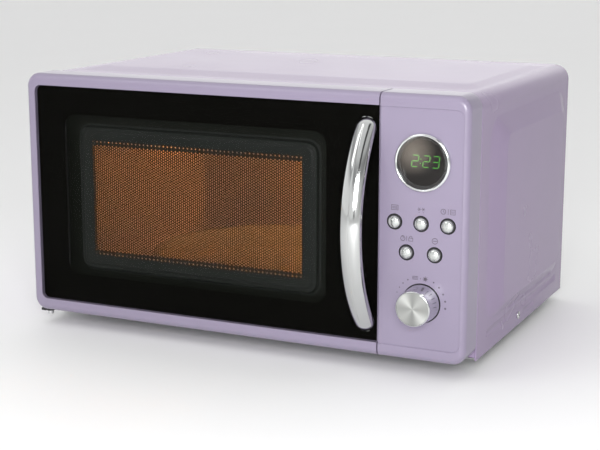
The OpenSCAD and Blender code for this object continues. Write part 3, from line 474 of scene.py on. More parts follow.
camera = bpy.data.objects.new("camera", bpy.data.cameras.new("camera"))
camera.data.lens, camera.data.sensor_width = 85.06, 36
camera.matrix_world = Matrix((
    (0.90468, -0.09021, 0.41643, 0.5990),
    (0.42608, 0.19005, -0.88450, -1.2676),
    (0.00065, 0.97762, 0.21037, 0.3959),
    (0, 0, 0, 1)))
scene.collection.objects.link(camera)
scene.camera = camera


# ---- Cover ----

def raised_rings(base, crest, radii, rise, put, foot, sink=0.0):
    """Rings of a raised panel: base and crest are its outlines (a0, a1, b0, b1), put(points, height)
    places them, foot is the lowest height, and sink lowers all that lies above the foot."""
    soft = 0.09
    rings = []
    levels = [(-soft, foot), (-soft, 0.004), (-soft / 2, None), (0, None), (soft / 2, None), (soft, None)]
    levels += [(1 - soft, None), (1 - soft / 2, None), (1, None), (1 + soft / 2, None), (1 + soft, rise)]
    for t, h in levels:
        if h is None:
            if t <= soft:
                h = rise * (t + soft) ** 2 / (4 * soft) + 0.004
            elif t < 1 - soft:
                h = rise * t
            else:
                h = rise - rise * (1 + soft - t) ** 2 / (4 * soft)
        elif h > 0.01:
            h = rise
        edges = [b + t * (c - b) for b, c in zip(base, crest)]
        radius = radii[0] + t * (radii[1] - radii[0])
        rings.append(put(outline(*edges, radius, 10), h if h < 0 else h - sink))
    return rings


SIDE_BASE = (FRONT + 57, FRONT + 302, BASE_Z + 28, BASE_Z + 214)
SIDE_CREST = (FRONT + 89, FRONT + 281, BASE_Z + 39, BASE_Z + 196.5)
TOP_BASE = (-209, 209, FRONT + 57, FRONT + 302)
TOP_CREST = (-196, 196, FRONT + 89, FRONT + 281)
COVER_Z = cover_hi[2] - 2
SIDE_RISE, TOP_RISE = cover_hi[0] - RIGHT, 2.0
SHEET = 1.2


def cover_section(inset, low):
    x1, z1, r = RIGHT - inset, COVER_Z - inset, 15 - inset
    return outline(-x1, x1, low, z1, (0, 0, r, r), 12)


def cover_block(inset, low, y0, y1, rear_round, sink, foot):
    rings = [facing(cover_section(inset, low), y0)]
    if rear_round:
        rings = [facing(cover_section(inset + 0.6, low), y0), facing(cover_section(inset, low), y0 + 0.6)]
    steps = 5 if rear_round else 0
    for k in range(steps + 1):
        t = math.radians(90 * k / max(steps, 1))
        rings.append(facing(cover_section(inset + rear_round * (1 - math.cos(t)), low),
                            y1 - rear_round + rear_round * math.sin(t)))
    body = loft("cabinet_cover_skin", rings)
    panels = []
    for s in (-1, 1):
        put = lambda pts, h, s=s: sideways(pts, s * (RIGHT + h))
        rings = raised_rings(SIDE_BASE, SIDE_CREST, (24, 13), SIDE_RISE, put, foot, sink)
        panels.append(loft("panel", rings))
    put = lambda pts, h: flat(pts, COVER_Z + h)
    rings = raised_rings(TOP_BASE, TOP_CREST, (16, 10), TOP_RISE, put, foot, sink)
    panels.append(loft("panel", rings))
    return cut(body, panels, "UNION")


cover = cover_block(0, BASE_Z, cover_lo[1], cover_hi[1], 2.0, 0, -0.6)
inside = cover_block(SHEET, BASE_Z - 5, cover_lo[1] - 2, cover_hi[1] - SHEET, 0, SHEET, -4)
rear_hole = prism(cover_section(12, BASE_Z - 5), cover_hi[1] - 5, cover_hi[1] + 2)


def bead(s, y0, y1, z0, z1, deep, slope):
    """Cutter for a pressed groove with round ends in a side of the cover"""
    r = (z1 - z0) / 2
    rings = []
    for grow, h in ((0.5, 1.0), (0.5, -0.02), (0.15, -deep * 0.2), (-slope, -deep * 0.85),
                    (-slope - 0.4, -deep)):
        pts = outline(y0 - grow, y1 + grow, z0 - grow, z1 + grow, max(r + grow - 0.01, 0.1), 10)
        rings.append(sideways(pts, s * (RIGHT + h)))
    return loft("cutter", rings)


cutters = [inside, rear_hole]
for s in (-1, 1):
    cutters.append(bead(s, FRONT + 60, FRONT + 292, BASE_Z + 14.6, BASE_Z + 21.4, 0.75, 1.2))
    cutters.append(bead(s, FRONT + 128, FRONT + 271, BASE_Z + 25.2, BASE_Z + 27.6, 0.5, 0.3))
    cutters.append(bead(s, FRONT + 176, FRONT + 211, BASE_Z + 7.2, BASE_Z + 12.0, 0.6, 0.8))
cut(cover, cutters)
place(cover, "oven", M["paint"], ["cabinet_cover"], bevel=0.3, angle=28)


# ---- Door ----

def front_rings(x0, x1, side, back, radius=13, edge=6, steps=9):
    """Block with a rounded front edge; its outer corners are round on one side only (-1 left, 1 right)"""
    rings = []
    for k in range(steps + 1):
        t = math.radians(90 * k / steps)
        inset = edge * (1 - math.sin(t))
        y = FRONT + edge * (1 - math.cos(t))
        lo = x0 + (inset if side < 0 else 0)
        hi = x1 - (inset if side > 0 else 0)
        r = radius - inset
        corner = (r, 0, 0, r) if side < 0 else (0, r, r, 0)
        rings.append(facing(outline(lo, hi, DOOR_Z0 + inset, DOOR_Z1 - inset, corner, 12), y))
    corner = (radius, 0, 0, radius) if side < 0 else (0, radius, radius, 0)
    for y, inset in ((back - 0.8, 0), (back, 0.8)):
        lo = x0 + (inset if side < 0 else 0)
        hi = x1 - (inset if side > 0 else 0)
        rings.append(facing(outline(lo, hi, DOOR_Z0 + inset, DOOR_Z1 - inset, corner, 12), y))
    return rings


GX0, GX1, GZ0, GZ1 = glass_lo[0], glass_hi[0], glass_lo[2], glass_hi[2]
GLASS_FRONT, GLASS_BACK = glass_lo[1], glass_hi[1]
OPENING_W, OPENING_H = 140, 84  # half the window opening in the door frame
HOLLOW = (WINDOW_X - 162, WINDOW_X + 163, MID_Z - 103, MID_Z + 103)
SCREW_HOLE_R = 1.9
HANDLE_X = (handle_lo[0] + handle_hi[0]) / 2
SCREW_Z = (handle_hi[2] - handle_lo[2]) / 2 - 9

door = loft("door_rim", front_rings(LEFT, DOOR_X1, -1, DOOR_BACK))
cutters = [
    prism(outline(GX0 - 0.2, DOOR_X1 + 2, GZ0 - 0.2, GZ1 + 0.2, (6.2, 0, 0, 6.2)),
          FRONT - 2, GLASS_BACK + 0.2),
    prism(outline(WINDOW_X - OPENING_W, WINDOW_X + OPENING_W, MID_Z - OPENING_H, MID_Z + OPENING_H, 12),
          FRONT, DOOR_BACK + 1),
    prism(outline(*HOLLOW, 5), FRONT + 7, DOOR_BACK + 1),
    block(HOLLOW[1] + 2, DOOR_X1 - 2.2, FRONT + 11, DOOR_BACK - 2.5, HOLLOW[2] + 4, HOLLOW[3]),
]
latch_lo, latch_hi = box_mm("latch_bar")
for z in (MID_Z - 78, MID_Z + 72):
    cutters.append(block(latch_lo[0] - 1, latch_hi[0] + 1, DOOR_BACK - 3, DOOR_BACK + 1, z - 1.5, z + 15.5))
swing = DOOR_BACK - HINGE[1] + 0.3
arc = [(HINGE[0] - swing * math.sin(math.radians(a)), HINGE[1] + swing * math.cos(math.radians(a)))
       for a in range(0, 39, 3)]
arc.append((LEFT - 1, HINGE[1] + math.sqrt(swing ** 2 - 13 ** 2)))
arc = [(LEFT - 1, DOOR_BACK + 1), (HINGE[0], DOOR_BACK + 1)] + arc
cutters.append(upright(arc, DOOR_Z0 - 1, DOOR_Z1 + 1))
tongue_z = box_mm("upper_hinge")[1][2] - 9
half, reach, opening = 4.6, 34, math.radians(95)
far = (HINGE[0] - reach * math.sin(opening), HINGE[1] + reach * math.cos(opening))
near = (-half * math.cos(opening), -half * math.sin(opening))
notch = [(HINGE[0] + half, HINGE[1]), (HINGE[0] + half, HINGE[1] + reach),
         (HINGE[0] - reach, HINGE[1] + reach), (far[0] + near[0], far[1] + near[1]),
         (HINGE[0] + near[0], HINGE[1] + near[1])]
cutters.append(upright(notch, tongue_z - 1.5, tongue_z + 3.5))
cutters.append(upright(circle(*HINGE, half + 0.3, 32), tongue_z - 1.5, tongue_z + 3.5))
cutters.append(upright(circle(*HINGE, 5, 40), DOOR_Z0 - 1, DOOR_Z0 + 6))
cutters.append(upright(circle(*HINGE, 3.4, 40), DOOR_Z0 - 1, DOOR_Z0 + 10))
cutters.append(upright(circle(*HINGE, 5, 40), tongue_z, tongue_z + 9.5))
for s in (-1, 1):
    z = MID_Z + s * SCREW_Z
    cutters.append(prism(circle(HANDLE_X, z, SCREW_HOLE_R, 24), FRONT - 1, FRONT + 12))
    cutters.append(prism(circle(HANDLE_X, z, 4.2, 32), FRONT + 8, FRONT + 13))
cut(door, cutters)
place(door, "door", M["plastic"], ["door_frame"], bevel=0.35)
# the walls of the window opening are black
second_look(door, M["black"], lambda c: (abs(c.x - WINDOW_X) < OPENING_W + 0.5
                                         and abs(c.z - MID_Z) < OPENING_H + 0.5
                                         and c.y > GLASS_BACK + 0.3))

glass = loft("door_glass_pane", [
    facing(outline(GX0 + g, GX1 - g, GZ0 + g, GZ1 - g, (6 - g, 0.5, 0.5, 6 - g)), y)
    for g, y in ((0.5, GLASS_FRONT), (0.15, GLASS_FRONT + 0.12), (0, GLASS_FRONT + 0.4),
                 (0, GLASS_BACK - 0.3), (0.3, GLASS_BACK))])
cut(glass, [prism(circle(HANDLE_X, MID_Z + s * SCREW_Z, SCREW_HOLE_R, 24), FRONT - 1, FRONT + 12)
            for s in (-1, 1)])
place(glass, "door", M["glass"], ["door_glass"], bevel=0)

PRINT_Y = GLASS_BACK + 0.03
ink = prism(outline(GX0 + 0.3, GX1 - 0.2, GZ0 + 0.3, GZ1 - 0.3, (5.7, 0.3, 0.3, 5.7)), PRINT_Y, PRINT_Y + 0.1,
            "door_glass_print")
cut(ink, [prism(outline(WINDOW_X - 139.7, WINDOW_X + 137, BASE_Z + 43.5, BASE_Z + 201.4, 13, 12), PRINT_Y - 1,
                PRINT_Y + 1)])
place(ink, "door", M["print"], bevel=0)


# ---- Perforated door screen ----

def perforated_face(outer, area, hole_r, pitch_x, pitch_z):
    """Flat sheet in X and Z with six-sided holes in staggered rows inside area"""
    points = list(outer)
    edges = [(i, (i + 1) % len(outer)) for i in range(len(outer))]
    owner = [-1] * len(outer)
    x0, x1, z0, z1 = area
    rows = int((z1 - z0) / pitch_z)
    columns = int((x1 - x0) / pitch_x)
    places = []
    for j in range(rows + 1):
        for i in range(columns + 1):
            x = x0 + (i + 0.5 * (j % 2)) * pitch_x
            if x <= x1 + 0.01:
                places.append((x, z0 + j * pitch_z))
    for z in (z0 - 3.9, z0 + rows * pitch_z + 3.9):
        for i in range(columns + 1):
            places.append((x0 + i * pitch_x, z))
    for k, (x, z) in enumerate(places):
        first = len(points)
        for c in range(6):
            t = math.radians(60 * c + 30)
            points.append((x + hole_r * math.cos(t), z + hole_r * math.sin(t)))
            edges.append((first + c, first + (c + 1) % 6))
            owner.append(k)
    out = delaunay_2d_cdt([Vector(p) for p in points], edges, [], 1, 1e-6)
    verts, tris, origin = out[0], out[2], out[3]
    who = [owner[o[0]] if o else -1 for o in origin]
    faces = []
    for t in tris:
        first = who[t[0]]
        if first >= 0 and all(who[v] == first for v in t):
            continue
        faces.append(tuple(t))
    return [tuple(v) for v in verts], faces


SCREEN_Y = screen_lo[1]
FACE = (WINDOW_X - 127, WINDOW_X + 126, BASE_Z + 49.5, BASE_Z + 190)
MESH_AREA = (-155.5, 65.5, BASE_Z + 69.3, BASE_Z + 171.8)
MESH_R, MESH_PITCH = 0.92, (4.33, 1.25)
THICK = 0.6
plate_edge = 6.0
v2, tris = perforated_face(outline(FACE[0] + plate_edge, FACE[1] - plate_edge, FACE[2] + plate_edge,
                                   FACE[3] - plate_edge, 6, 8), MESH_AREA, MESH_R, *MESH_PITCH)
count = len(v2)
verts = [(x, SCREEN_Y, z) for x, z in v2] + [(x, SCREEN_Y + THICK, z) for x, z in v2]
faces = list(tris) + [tuple(v + count for v in reversed(t)) for t in tris]
used = {(a, b) for t in tris for a, b in zip(t, t[1:] + t[:1])}
faces += [(b, a, a + count, b + count) for a, b in used if (b, a) not in used]
plate = make_mesh("door_screen_plate", verts, faces)
place(plate, "door", M["screen"], ["door_screen"], bevel=0, angle=40)


def frame_ring(grow, r, y):
    return facing(outline(FACE[0] - grow, FACE[1] + grow, FACE[2] - grow, FACE[3] + grow, r, 8), y)


# stamped frame round the mesh: two steps back to the flange's level, then the flange and its folded rim
steps_out = [(-6.0, 6.0, 0.0), (-5.2, 6.8, 0.12), (-4.6, 7.4, 0.7), (-4.0, 8.0, 0.95), (-1.6, 10.0, 1.05),
             (-0.9, 10.6, 1.3), (-0.2, 11.3, 2.6), (0.2, 11.8, 4.4), (0.9, 12.4, 4.9)]
step_rings = [frame_ring(g, r, SCREEN_Y + d) for g, r, d in steps_out]
outer = (screen_lo[0] + 0.2, screen_hi[0] - 0.2, screen_lo[2] + 0.2, screen_hi[2] - 0.2)
FLANGE_Y = SCREEN_Y + 4.9
step_rings.append(frame_ring(2.4, 13.2, FLANGE_Y + 0.1))
step_back = [frame_ring(2.2, 13.0, FLANGE_Y + 0.1 + THICK)]
step_back += [frame_ring(g - 0.5, r - 0.4, SCREEN_Y + d + THICK) for g, r, d in reversed(steps_out)]
stamped = loft("door_screen_frame", step_rings + step_back, closed=True)
place(stamped, "door", M["screen"], bevel=0, angle=50)
rim_out = outline(*outer, 4.5, 8)
rim_in = outline(outer[0] + 0.8, outer[1] - 0.8, outer[2] + 0.8, outer[3] - 0.8, 3.9, 8)
flange_rings = [frame_ring(2.3, 13.1, FLANGE_Y + 0.1), frame_ring(3.2, 13.8, FLANGE_Y + 0.35),
                facing(rim_out, FLANGE_Y + 0.4), facing(rim_out, screen_hi[1]),
                facing(rim_in, screen_hi[1]), facing(rim_in, FLANGE_Y + 1.1),
                frame_ring(3.2, 13.8, FLANGE_Y + 1.0)]
flange = loft("door_screen_flange", flange_rings, closed=True)
place(flange, "door", M["flange"], bevel=0, angle=50)


# ---- Handle ----

HALF_LENGTH = 100
BOW = FRONT - handle_lo[1] + 0.6
ARC_R = (HALF_LENGTH ** 2 + BOW ** 2) / (2 * BOW)
AXIS_Y = handle_lo[1] + ARC_R
HALF_W = (handle_hi[0] - handle_lo[0]) / 2
THICKNESS = 10.0


def bent(a, along, depth):
    """Point of the bar: a across, along its curve (height as seen from the front), depth behind its face"""
    angle = math.asin(max(-1, min(1, along / ARC_R)))
    r = ARC_R - depth
    return (HANDLE_X + a, min(AXIS_Y - r * math.cos(angle), GLASS_FRONT - 0.02), MID_Z + r * math.sin(angle))


def bar_outline(inset):
    w, end = HALF_W - inset, HALF_LENGTH - inset
    r = max(w - 0.3, 0.02)
    points = []
    for k in range(17):
        t = math.radians(180 * k / 16)
        shift = w - r if k < 8 else (r - w if k > 8 else 0)
        points.append((r * math.cos(t) + shift, end - r + r * math.sin(t)))
    points += [(-w, (end - r) * (1 - 2 * k / 40)) for k in range(1, 40)]
    for k in range(17):
        t = math.radians(180 + 180 * k / 16)
        shift = r - w if k < 8 else (w - r if k > 8 else 0)
        points.append((r * math.cos(t) + shift, r - end + r * math.sin(t)))
    points += [(w, (end - r) * (2 * k / 40 - 1)) for k in range(1, 40)]
    return points


# (inset, depth) of each ring, from the rear face over the sides and rounded edges to the crowned front
CORNER, CROWN, TURN = 3.6, 2.7, 56
layers = [(9.3, THICKNESS), (6.0, THICKNESS), (2.2, THICKNESS)]
layers += [(2.0 - 2.0 * math.sin(math.radians(t)), THICKNESS - 2.0 + 2.0 * math.cos(math.radians(t)))
           for t in (15, 35, 55, 75, 90)]
edge = CORNER * (1 - math.cos(math.radians(TURN)))
layers += [(CORNER - CORNER * math.cos(math.radians(t)),
            CROWN + CORNER * (math.sin(math.radians(TURN)) - math.sin(math.radians(t))))
           for t in (0, 12, 24, 36, 46, TURN)]
layers += [(edge + (9.4 - edge) * k / 8, CROWN * (1 - k / 8) ** 2) for k in range(1, 9)]
rings = [[bent(a, z, d) for a, z in bar_outline(g)] for g, d in layers]
handle = loft("bowed_handle", rings)
place(handle, "door", M["bar"], ["handle"], bevel=0, angle=60)


# ---- Control panel ----

PANEL_WALL, BUTTON_HOLE_R = 2.6, 7.2
panel = loft("control_panel_body", front_rings(PANEL_X0, RIGHT, 1, PANEL_BACK))
face_x1 = RIGHT - 5.4
sunken = []
for grow, y in ((0.8, FRONT - 1), (0.8, FRONT - 0.05), (0.35, FRONT + 0.05), (0.1, FRONT + 0.3),
                (0.0, FACE_Y - 0.15), (-0.15, FACE_Y)):
    sunken.append(facing(outline(PANEL_X0 - 5, face_x1 + grow, DOOR_Z0 + RIM - grow, DOOR_Z1 - RIM + grow,
                                 (0, 7 + grow, 7 + grow, 0), 10), y))
cutters = [
    loft("cutter", sunken),
    prism(outline(PANEL_X0 + PANEL_WALL, RIGHT - PANEL_WALL, DOOR_Z0 + PANEL_WALL,
                  DOOR_Z1 - PANEL_WALL, 10.4), FACE_Y + 2.8, PANEL_BACK + 1),
    prism(circle(*RING, (ring_hi[0] - ring_lo[0]) / 2 - 4, 64), FRONT - 2, FRONT + 10),
    prism(circle(*KNOB, 5, 40), FRONT - 2, FRONT + 10),
]
for b in BUTTONS:
    cutters.append(prism(circle(*BUTTONS[b], BUTTON_HOLE_R, 48), FRONT - 2, FRONT + 10))
cut(panel, cutters)
FOOT_R = (knob_hi[0] - knob_lo[0]) / 2
groove = lathe("cutter", [(FOOT_R - 0.6, -2.1), (FOOT_R - 0.6, 1.0), (FOOT_R + 0.8, 1.0),
                          (FOOT_R + 0.8, -2.1)], (KNOB[0], FACE_Y, KNOB[1]), steps=96, closed=True)
cut(panel, [groove])
place(panel, "oven", M["plastic"], ["control_panel"], bevel=0.3)


def in_groove_or_hole(c):
    if math.hypot(c.x - KNOB[0], c.z - KNOB[1]) < FOOT_R + 0.95 and c.y > FACE_Y + 0.05:
        return True
    in_hole = any(math.hypot(c.x - bx, c.z - bz) < BUTTON_HOLE_R + 0.1 for bx, bz in BUTTONS.values())
    return in_hole and FACE_Y + 0.05 < c.y < FACE_Y + 2.7


# painted shade: the walls of the knob's groove and of the button holes are black, for the shadow in these
# gaps
second_look(panel, M["black"], in_groove_or_hole)

# display: ring, lens and digits
R = (ring_hi[0] - ring_lo[0]) / 2
ring_profile = [(R - 4.6, -2.6), (R - 4.6, -0.1), (R - 0.4, -0.1), (R - 0.1, 0.15), (R, 0.8),
                (R - 0.15, 1.7), (R - 0.6, 2.6), (R - 1.2, 3.15), (R - 1.8, 3.4), (R - 2.3, 3.3),
                (R - 2.7, 2.9), (R - 2.95, 2.3), (R - 3.0, 0.8), (R - 5.55, 0.8), (R - 5.6, -2.6)]
bezel = lathe("display_ring", ring_profile, (RING[0], FACE_Y, RING[1]), steps=144, closed=True)
place(bezel, "oven", M["chrome"], ["display_bezel"], bevel=0, angle=50)
LENS_R = (lens_hi[0] - lens_lo[0]) / 2
LENS_TOP = FACE_Y - lens_lo[1]
lens_profile = [(0, 0.8), (LENS_R - 0.1, 0.8), (LENS_R, 0.9), (LENS_R, LENS_TOP - 0.9)]
lens_profile += [(LENS_R * math.cos(math.radians(a)), LENS_TOP - 0.9 + 1.4 * math.sin(math.radians(a)))
                 for a in range(6, 91, 6)]
lens = lathe("display_lens_dome", lens_profile, (RING[0], FACE_Y, RING[1]), steps=96)
place(lens, "oven", M["lens"], ["display_lens"], bevel=0, angle=50)

SEGMENTS = {"2": "abged", "3": "abgcd"}


def bar(x, z, length, upright_bar, w=0.34):
    h = length / 2
    pts = [(-h, 0), (-h + w, w), (h - w, w), (h, 0), (h - w, -w), (-h + w, -w)]
    if upright_bar:
        pts = [(b, a) for a, b in pts]
    return [(x + a, z + b) for a, b in pts]


def digit_shapes(letter, x, z, w, h):
    places = {"a": (0, h, False), "g": (0, 0, False), "d": (0, -h, False), "b": (w, h / 2, True),
              "c": (w, -h / 2, True), "e": (-w, -h / 2, True)}
    shapes = []
    for seg in SEGMENTS[letter]:
        dx, dz, up = places[seg]
        shapes.append(bar(dx, dz, (h if up else 2 * w) - 0.7, up))
    lean = 0.1
    return [[(x + a + lean * b, z + b) for a, b in s] for s in shapes]


shapes = []
dx0 = RING[0] + 2.6
dz0 = RING[1] + 1.2
for k, letter in enumerate("223"):
    shapes += digit_shapes(letter, dx0 + (-9.6, 0.6, 9.3)[k], dz0, 2.9, 5.0)
for dz in (-1.9, 1.9):
    shapes.append(circle(dx0 - 4.6 + 0.1 * dz, dz0 + dz, 0.5, 10))
DIGIT_Y = FACE_Y - 0.55
digits = join("display_digits", [prism(s, DIGIT_Y, DIGIT_Y + 0.15, "digit") for s in shapes])
place(digits, "oven", M["digit"], bevel=0)
back = lathe("display_backing", [(0, 0), (19.8, 0), (20.0, -0.2), (20.0, -0.9), (0, -0.9)],
             (RING[0], FACE_Y - 0.3, RING[1]), steps=64)
place(back, "oven", M["black"], bevel=0.05)

# buttons: silver dome, with the skirt and collar painted black as the shade in the gap round it
for b, (x, z) in BUTTONS.items():
    top = FACE_Y - box_mm("button_" + b)[0][1]
    r = 6.4
    skirt = [(0, -8), (2.4, -8), (2.4, -4.2), (8.3, -4.2), (8.4, -3.9), (8.4, -3.3), (8.2, -3.2), (r, -3.2),
             (r, top - 3.7), (r - 0.15, top - 3.4), (r - 0.5, top - 3.3), (0, top - 3.3)]
    base = lathe("button_skirt_" + b, skirt, (x, FACE_Y, z), steps=56)
    place(base, b + "_button", M["black"], ["button_" + b], bevel=0, angle=40)
    dome = [(0, top - 3.29), (r - 1.1, top - 3.29), (r - 0.95, top - 3.2)]
    dome += [((r - 0.9) * math.cos(math.radians(a)), top - 3.0 + 3.0 * math.sin(math.radians(a)))
             for a in range(0, 87, 5)]
    dome.append((0, top))
    cap = lathe("button_cap_" + b, dome, (x, FACE_Y, z), steps=72)
    place(cap, b + "_button", M["button"], bevel=0, angle=50)

# knob
KH = FACE_Y - knob_lo[1]
fr, br = 15.8, (knob_hi[0] - knob_lo[0]) / 2
side_profile = [(3.6, 0.6), (br - 0.4, 0.6), (br, 0.9), (br, 1.6), (br - 0.15, 2.3), (br - 0.3, 4.0),
                (fr + 0.6, 6.5), (fr + 0.2, 9.0), (fr, 11.5), (fr, KH - 1.3), (fr - 0.15, KH - 0.7),
                (fr - 0.6, KH - 0.25), (fr - 1.0, KH - 0.2), (fr - 1.0, KH - 1.4), (3.6, KH - 1.4)]
side = lathe("knob_side", side_profile, (KNOB[0], FACE_Y, KNOB[1]), steps=128, closed=True)


def pointer_notch():
    """Cutter for the small round notch at the knob's edge"""
    turn = math.radians(58)
    out = fr - 0.3
    return lathe("cutter", [(0, KH - 3.2), (1.5, KH - 3.2), (1.5, KH + 2), (0, KH + 2)],
                 (KNOB[0] + math.cos(turn) * out, FACE_Y, KNOB[1] + math.sin(turn) * out), steps=24)


cut(side, [pointer_notch()])
place(side, "dial", M["knob"], ["knob"], bevel=0.12, angle=40)
cap_profile = [(0, KH - 1.3), (fr - 1.05, KH - 1.3), (fr - 1.05, KH - 0.55), (fr - 1.25, KH - 0.36)]
cap_profile += [((fr - 1.3) * (1 - k / 12), KH - 0.36 + 0.22 * (1 - (1 - k / 12) ** 2)) for k in range(1, 13)]
face = lathe("knob_face", cap_profile, (KNOB[0], FACE_Y, KNOB[1]), steps=128)
cut(face, [pointer_notch()])
place(face, "dial", M["spun"], bevel=0, angle=30)


# ---- Printed signs ----

INK_Y = FACE_Y - 0.06


def stroke(points, width=0.42, closed=False):
    """Flat line through points, as one thin prism for each stretch"""
    pieces = []
    pairs = list(zip(points, points[1:] + (points[:1] if closed else [])))
    for (a, b), (c, d) in (pairs if closed else pairs[:len(points) - 1]):
        length = math.hypot(c - a, d - b)
        if length < 1e-6:
            continue
        u, v = (c - a) / length * width / 2, (d - b) / length * width / 2
        pieces.append(prism([(a - u + v, b - v - u), (c + u + v, d + v - u), (c + u - v, d + v + u),
                             (a - u - v, b - v + u)], INK_Y, FACE_Y + 0.02, "ink"))
    return pieces


def ring_line(x, z, r, width=0.42, n=20):
    return stroke(circle(x, z, r, n), width, True)


def disc(x, z, r):
    return [prism(circle(x, z, r, 20), INK_Y, FACE_Y + 0.02, "ink")]


def rect_line(x, z, w, h):
    return stroke([(x - w, z - h), (x + w, z - h), (x + w, z + h), (x - w, z + h)], 0.4, True)


marks = []
bx, bz = BUTTONS["upper_left"]
z = bz + 12.6
marks += rect_line(bx, z, 3.1, 2.1)
for k in (-1.6, 0, 1.6):
    marks += stroke([(bx - 2.2, z + k * 0.5), (bx + 1.0, z + k * 0.5)], 0.3)
marks += stroke([(bx + 1.9, z - 1.2), (bx + 1.9, z + 1.2)], 0.5)
bx, bz = BUTTONS["upper_middle"]
z = bz + 12.8
for dx in (-1.9, 1.9):
    for a in (0, 60, 120):
        c, s = math.cos(math.radians(a)) * 1.5, math.sin(math.radians(a)) * 1.5
        marks += stroke([(bx + dx - c, z - s), (bx + dx + c, z + s)], 0.36)
    marks += disc(bx + dx, z - 2.7, 0.35)
bx, bz = BUTTONS["upper_right"]
z = bz + 12.6
marks += ring_line(bx - 4.4, z, 2.2)
marks += stroke([(bx - 4.4, z + 1.2), (bx - 4.4, z), (bx - 3.5, z - 0.5)], 0.36)
marks += stroke([(bx, z - 2.3), (bx, z + 2.3)], 0.36)
marks += rect_line(bx + 4.2, z, 2.1, 2.1)
for dx in (-1, 0, 1):
    marks += stroke([(bx + 4.2 + dx, z - 1.0), (bx + 4.2 + dx, z + 0.9)], 0.3)
bx, bz = BUTTONS["lower_left"]
z = bz + 12.4
marks += ring_line(bx - 3.6, z - 0.2, 2.0)
marks += stroke([(bx - 4.5, z + 2.2), (bx - 2.7, z + 2.2)], 0.4)
marks += stroke([(bx - 3.6, z - 0.2), (bx - 2.8, z + 0.8)], 0.36)
marks += stroke([(bx, z - 2.2), (bx, z + 2.2)], 0.36)
marks += rect_line(bx + 3.8, z - 0.7, 1.9, 1.3)
marks += stroke([(bx + 2.7, z + 0.7), (bx + 2.7, z + 1.7), (bx + 3.3, z + 2.3), (bx + 4.3, z + 2.3),
                 (bx + 4.9, z + 1.7), (bx + 4.9, z + 0.7)], 0.36)
bx, bz = BUTTONS["lower_right"]
z = bz + 12.4
marks += ring_line(bx, z, 2.5)
marks += stroke([(bx - 1.4, z), (bx + 1.4, z)], 0.5)
kx, kz = KNOB[0] - 6.2, BASE_Z + 78.2
for row in (-1, 0.2, 1.4):
    marks += stroke([(kx - 2.6 + 0.65 * i, kz + row + (0.35 if i % 2 else -0.15)) for i in range(9)], 0.34)
sun = KNOB[0] + 3.3
marks += disc(KNOB[0] - 1.2, kz, 0.4)
marks += disc(sun, kz, 1.5)
for a in range(0, 360, 45):
    c, s = math.cos(math.radians(a)), math.sin(math.radians(a))
    marks += stroke([(sun + 1.7 * c, kz + 1.7 * s), (sun + 2.4 * c, kz + 2.4 * s)], 0.36)
for k, a in enumerate((161, 148, 135, 121, 59, 43, 26, 10, -6)):
    c, s = math.cos(math.radians(a)), math.sin(math.radians(a))
    marks += disc(KNOB[0] - 0.9 + 23.2 * c, KNOB[1] + 23.2 * s, 0.5 + 0.055 * k)
signs = join("panel_signs", marks)
place(signs, "oven", M["ink"], bevel=0)


# ---- Small parts outside ----

def screw_head(name, centre, axis):
    profile = [(0, -6), (1.6, -6), (1.7, -0.05), (3.6, -0.05), (3.8, 0.2), (3.72, 0.7), (3.3, 1.15),
               (2.5, 1.45), (1.2, 1.58), (0, 1.6)]
    head = lathe(name, profile, centre, axis, steps=40)
    cx, cy, cz = centre
    slots = []
    for w, h in ((2.3, 0.42), (0.42, 2.3)):
        if axis == "-y":
            slots.append(block(cx - w, cx + w, cy + 0.7, cy + 3, cz - h, cz + h))
        else:
            s = 1 if axis == "x" else -1
            lo, hi = sorted((cx + s * 0.7, cx + s * 3))
            slots.append(block(lo, hi, cy - w, cy + w, cz - h, cz + h))
    return cut(head, slots)


REAR = cover_hi[1]
heads = [screw_head("head", (s * (RIGHT - 6), REAR, BASE_Z + z), "-y") for s in (-1, 1) for z in (60, 180)]
heads.append(screw_head("head", (0, REAR, COVER_Z - 6), "-y"))
heads.append(screw_head("head", (RIGHT, FRONT + 160, BASE_Z + 10), "x"))
heads.append(screw_head("head", (-RIGHT, FRONT + 160, BASE_Z + 10), "-x"))
screws = join("cover_screw_heads", heads)
place(screws, "oven", M["screw"], ["cover_screws"], bevel=0.08, angle=30)

feet_lo, feet_hi = box_mm("feet")
foot_profile = [(0, 8), (3.2, 8), (4, 7.4), (4, 0.6), (4.5, 0), (7.7, 0), (8.35, 0.35), (8.6, 1.0),
                (9.3, 5.0), (9.0, 5.5), (9.5, 6.2), (9.85, 10.9), (9.5, 11.7), (8.9, 12), (2.3, 12),
                (2.3, 15), (2.0, 15.2), (0, 15.2)]
feet = join("rubber_feet", [
    lathe("foot", foot_profile, (x, y, 0), "z", steps=48)
    for x in (feet_lo[0] + 10, feet_hi[0] - 10) for y in (feet_lo[1] + 10, feet_hi[1] - 10)])
place(feet, "oven", M["rubber"], ["feet"], bevel=0.1, angle=40)

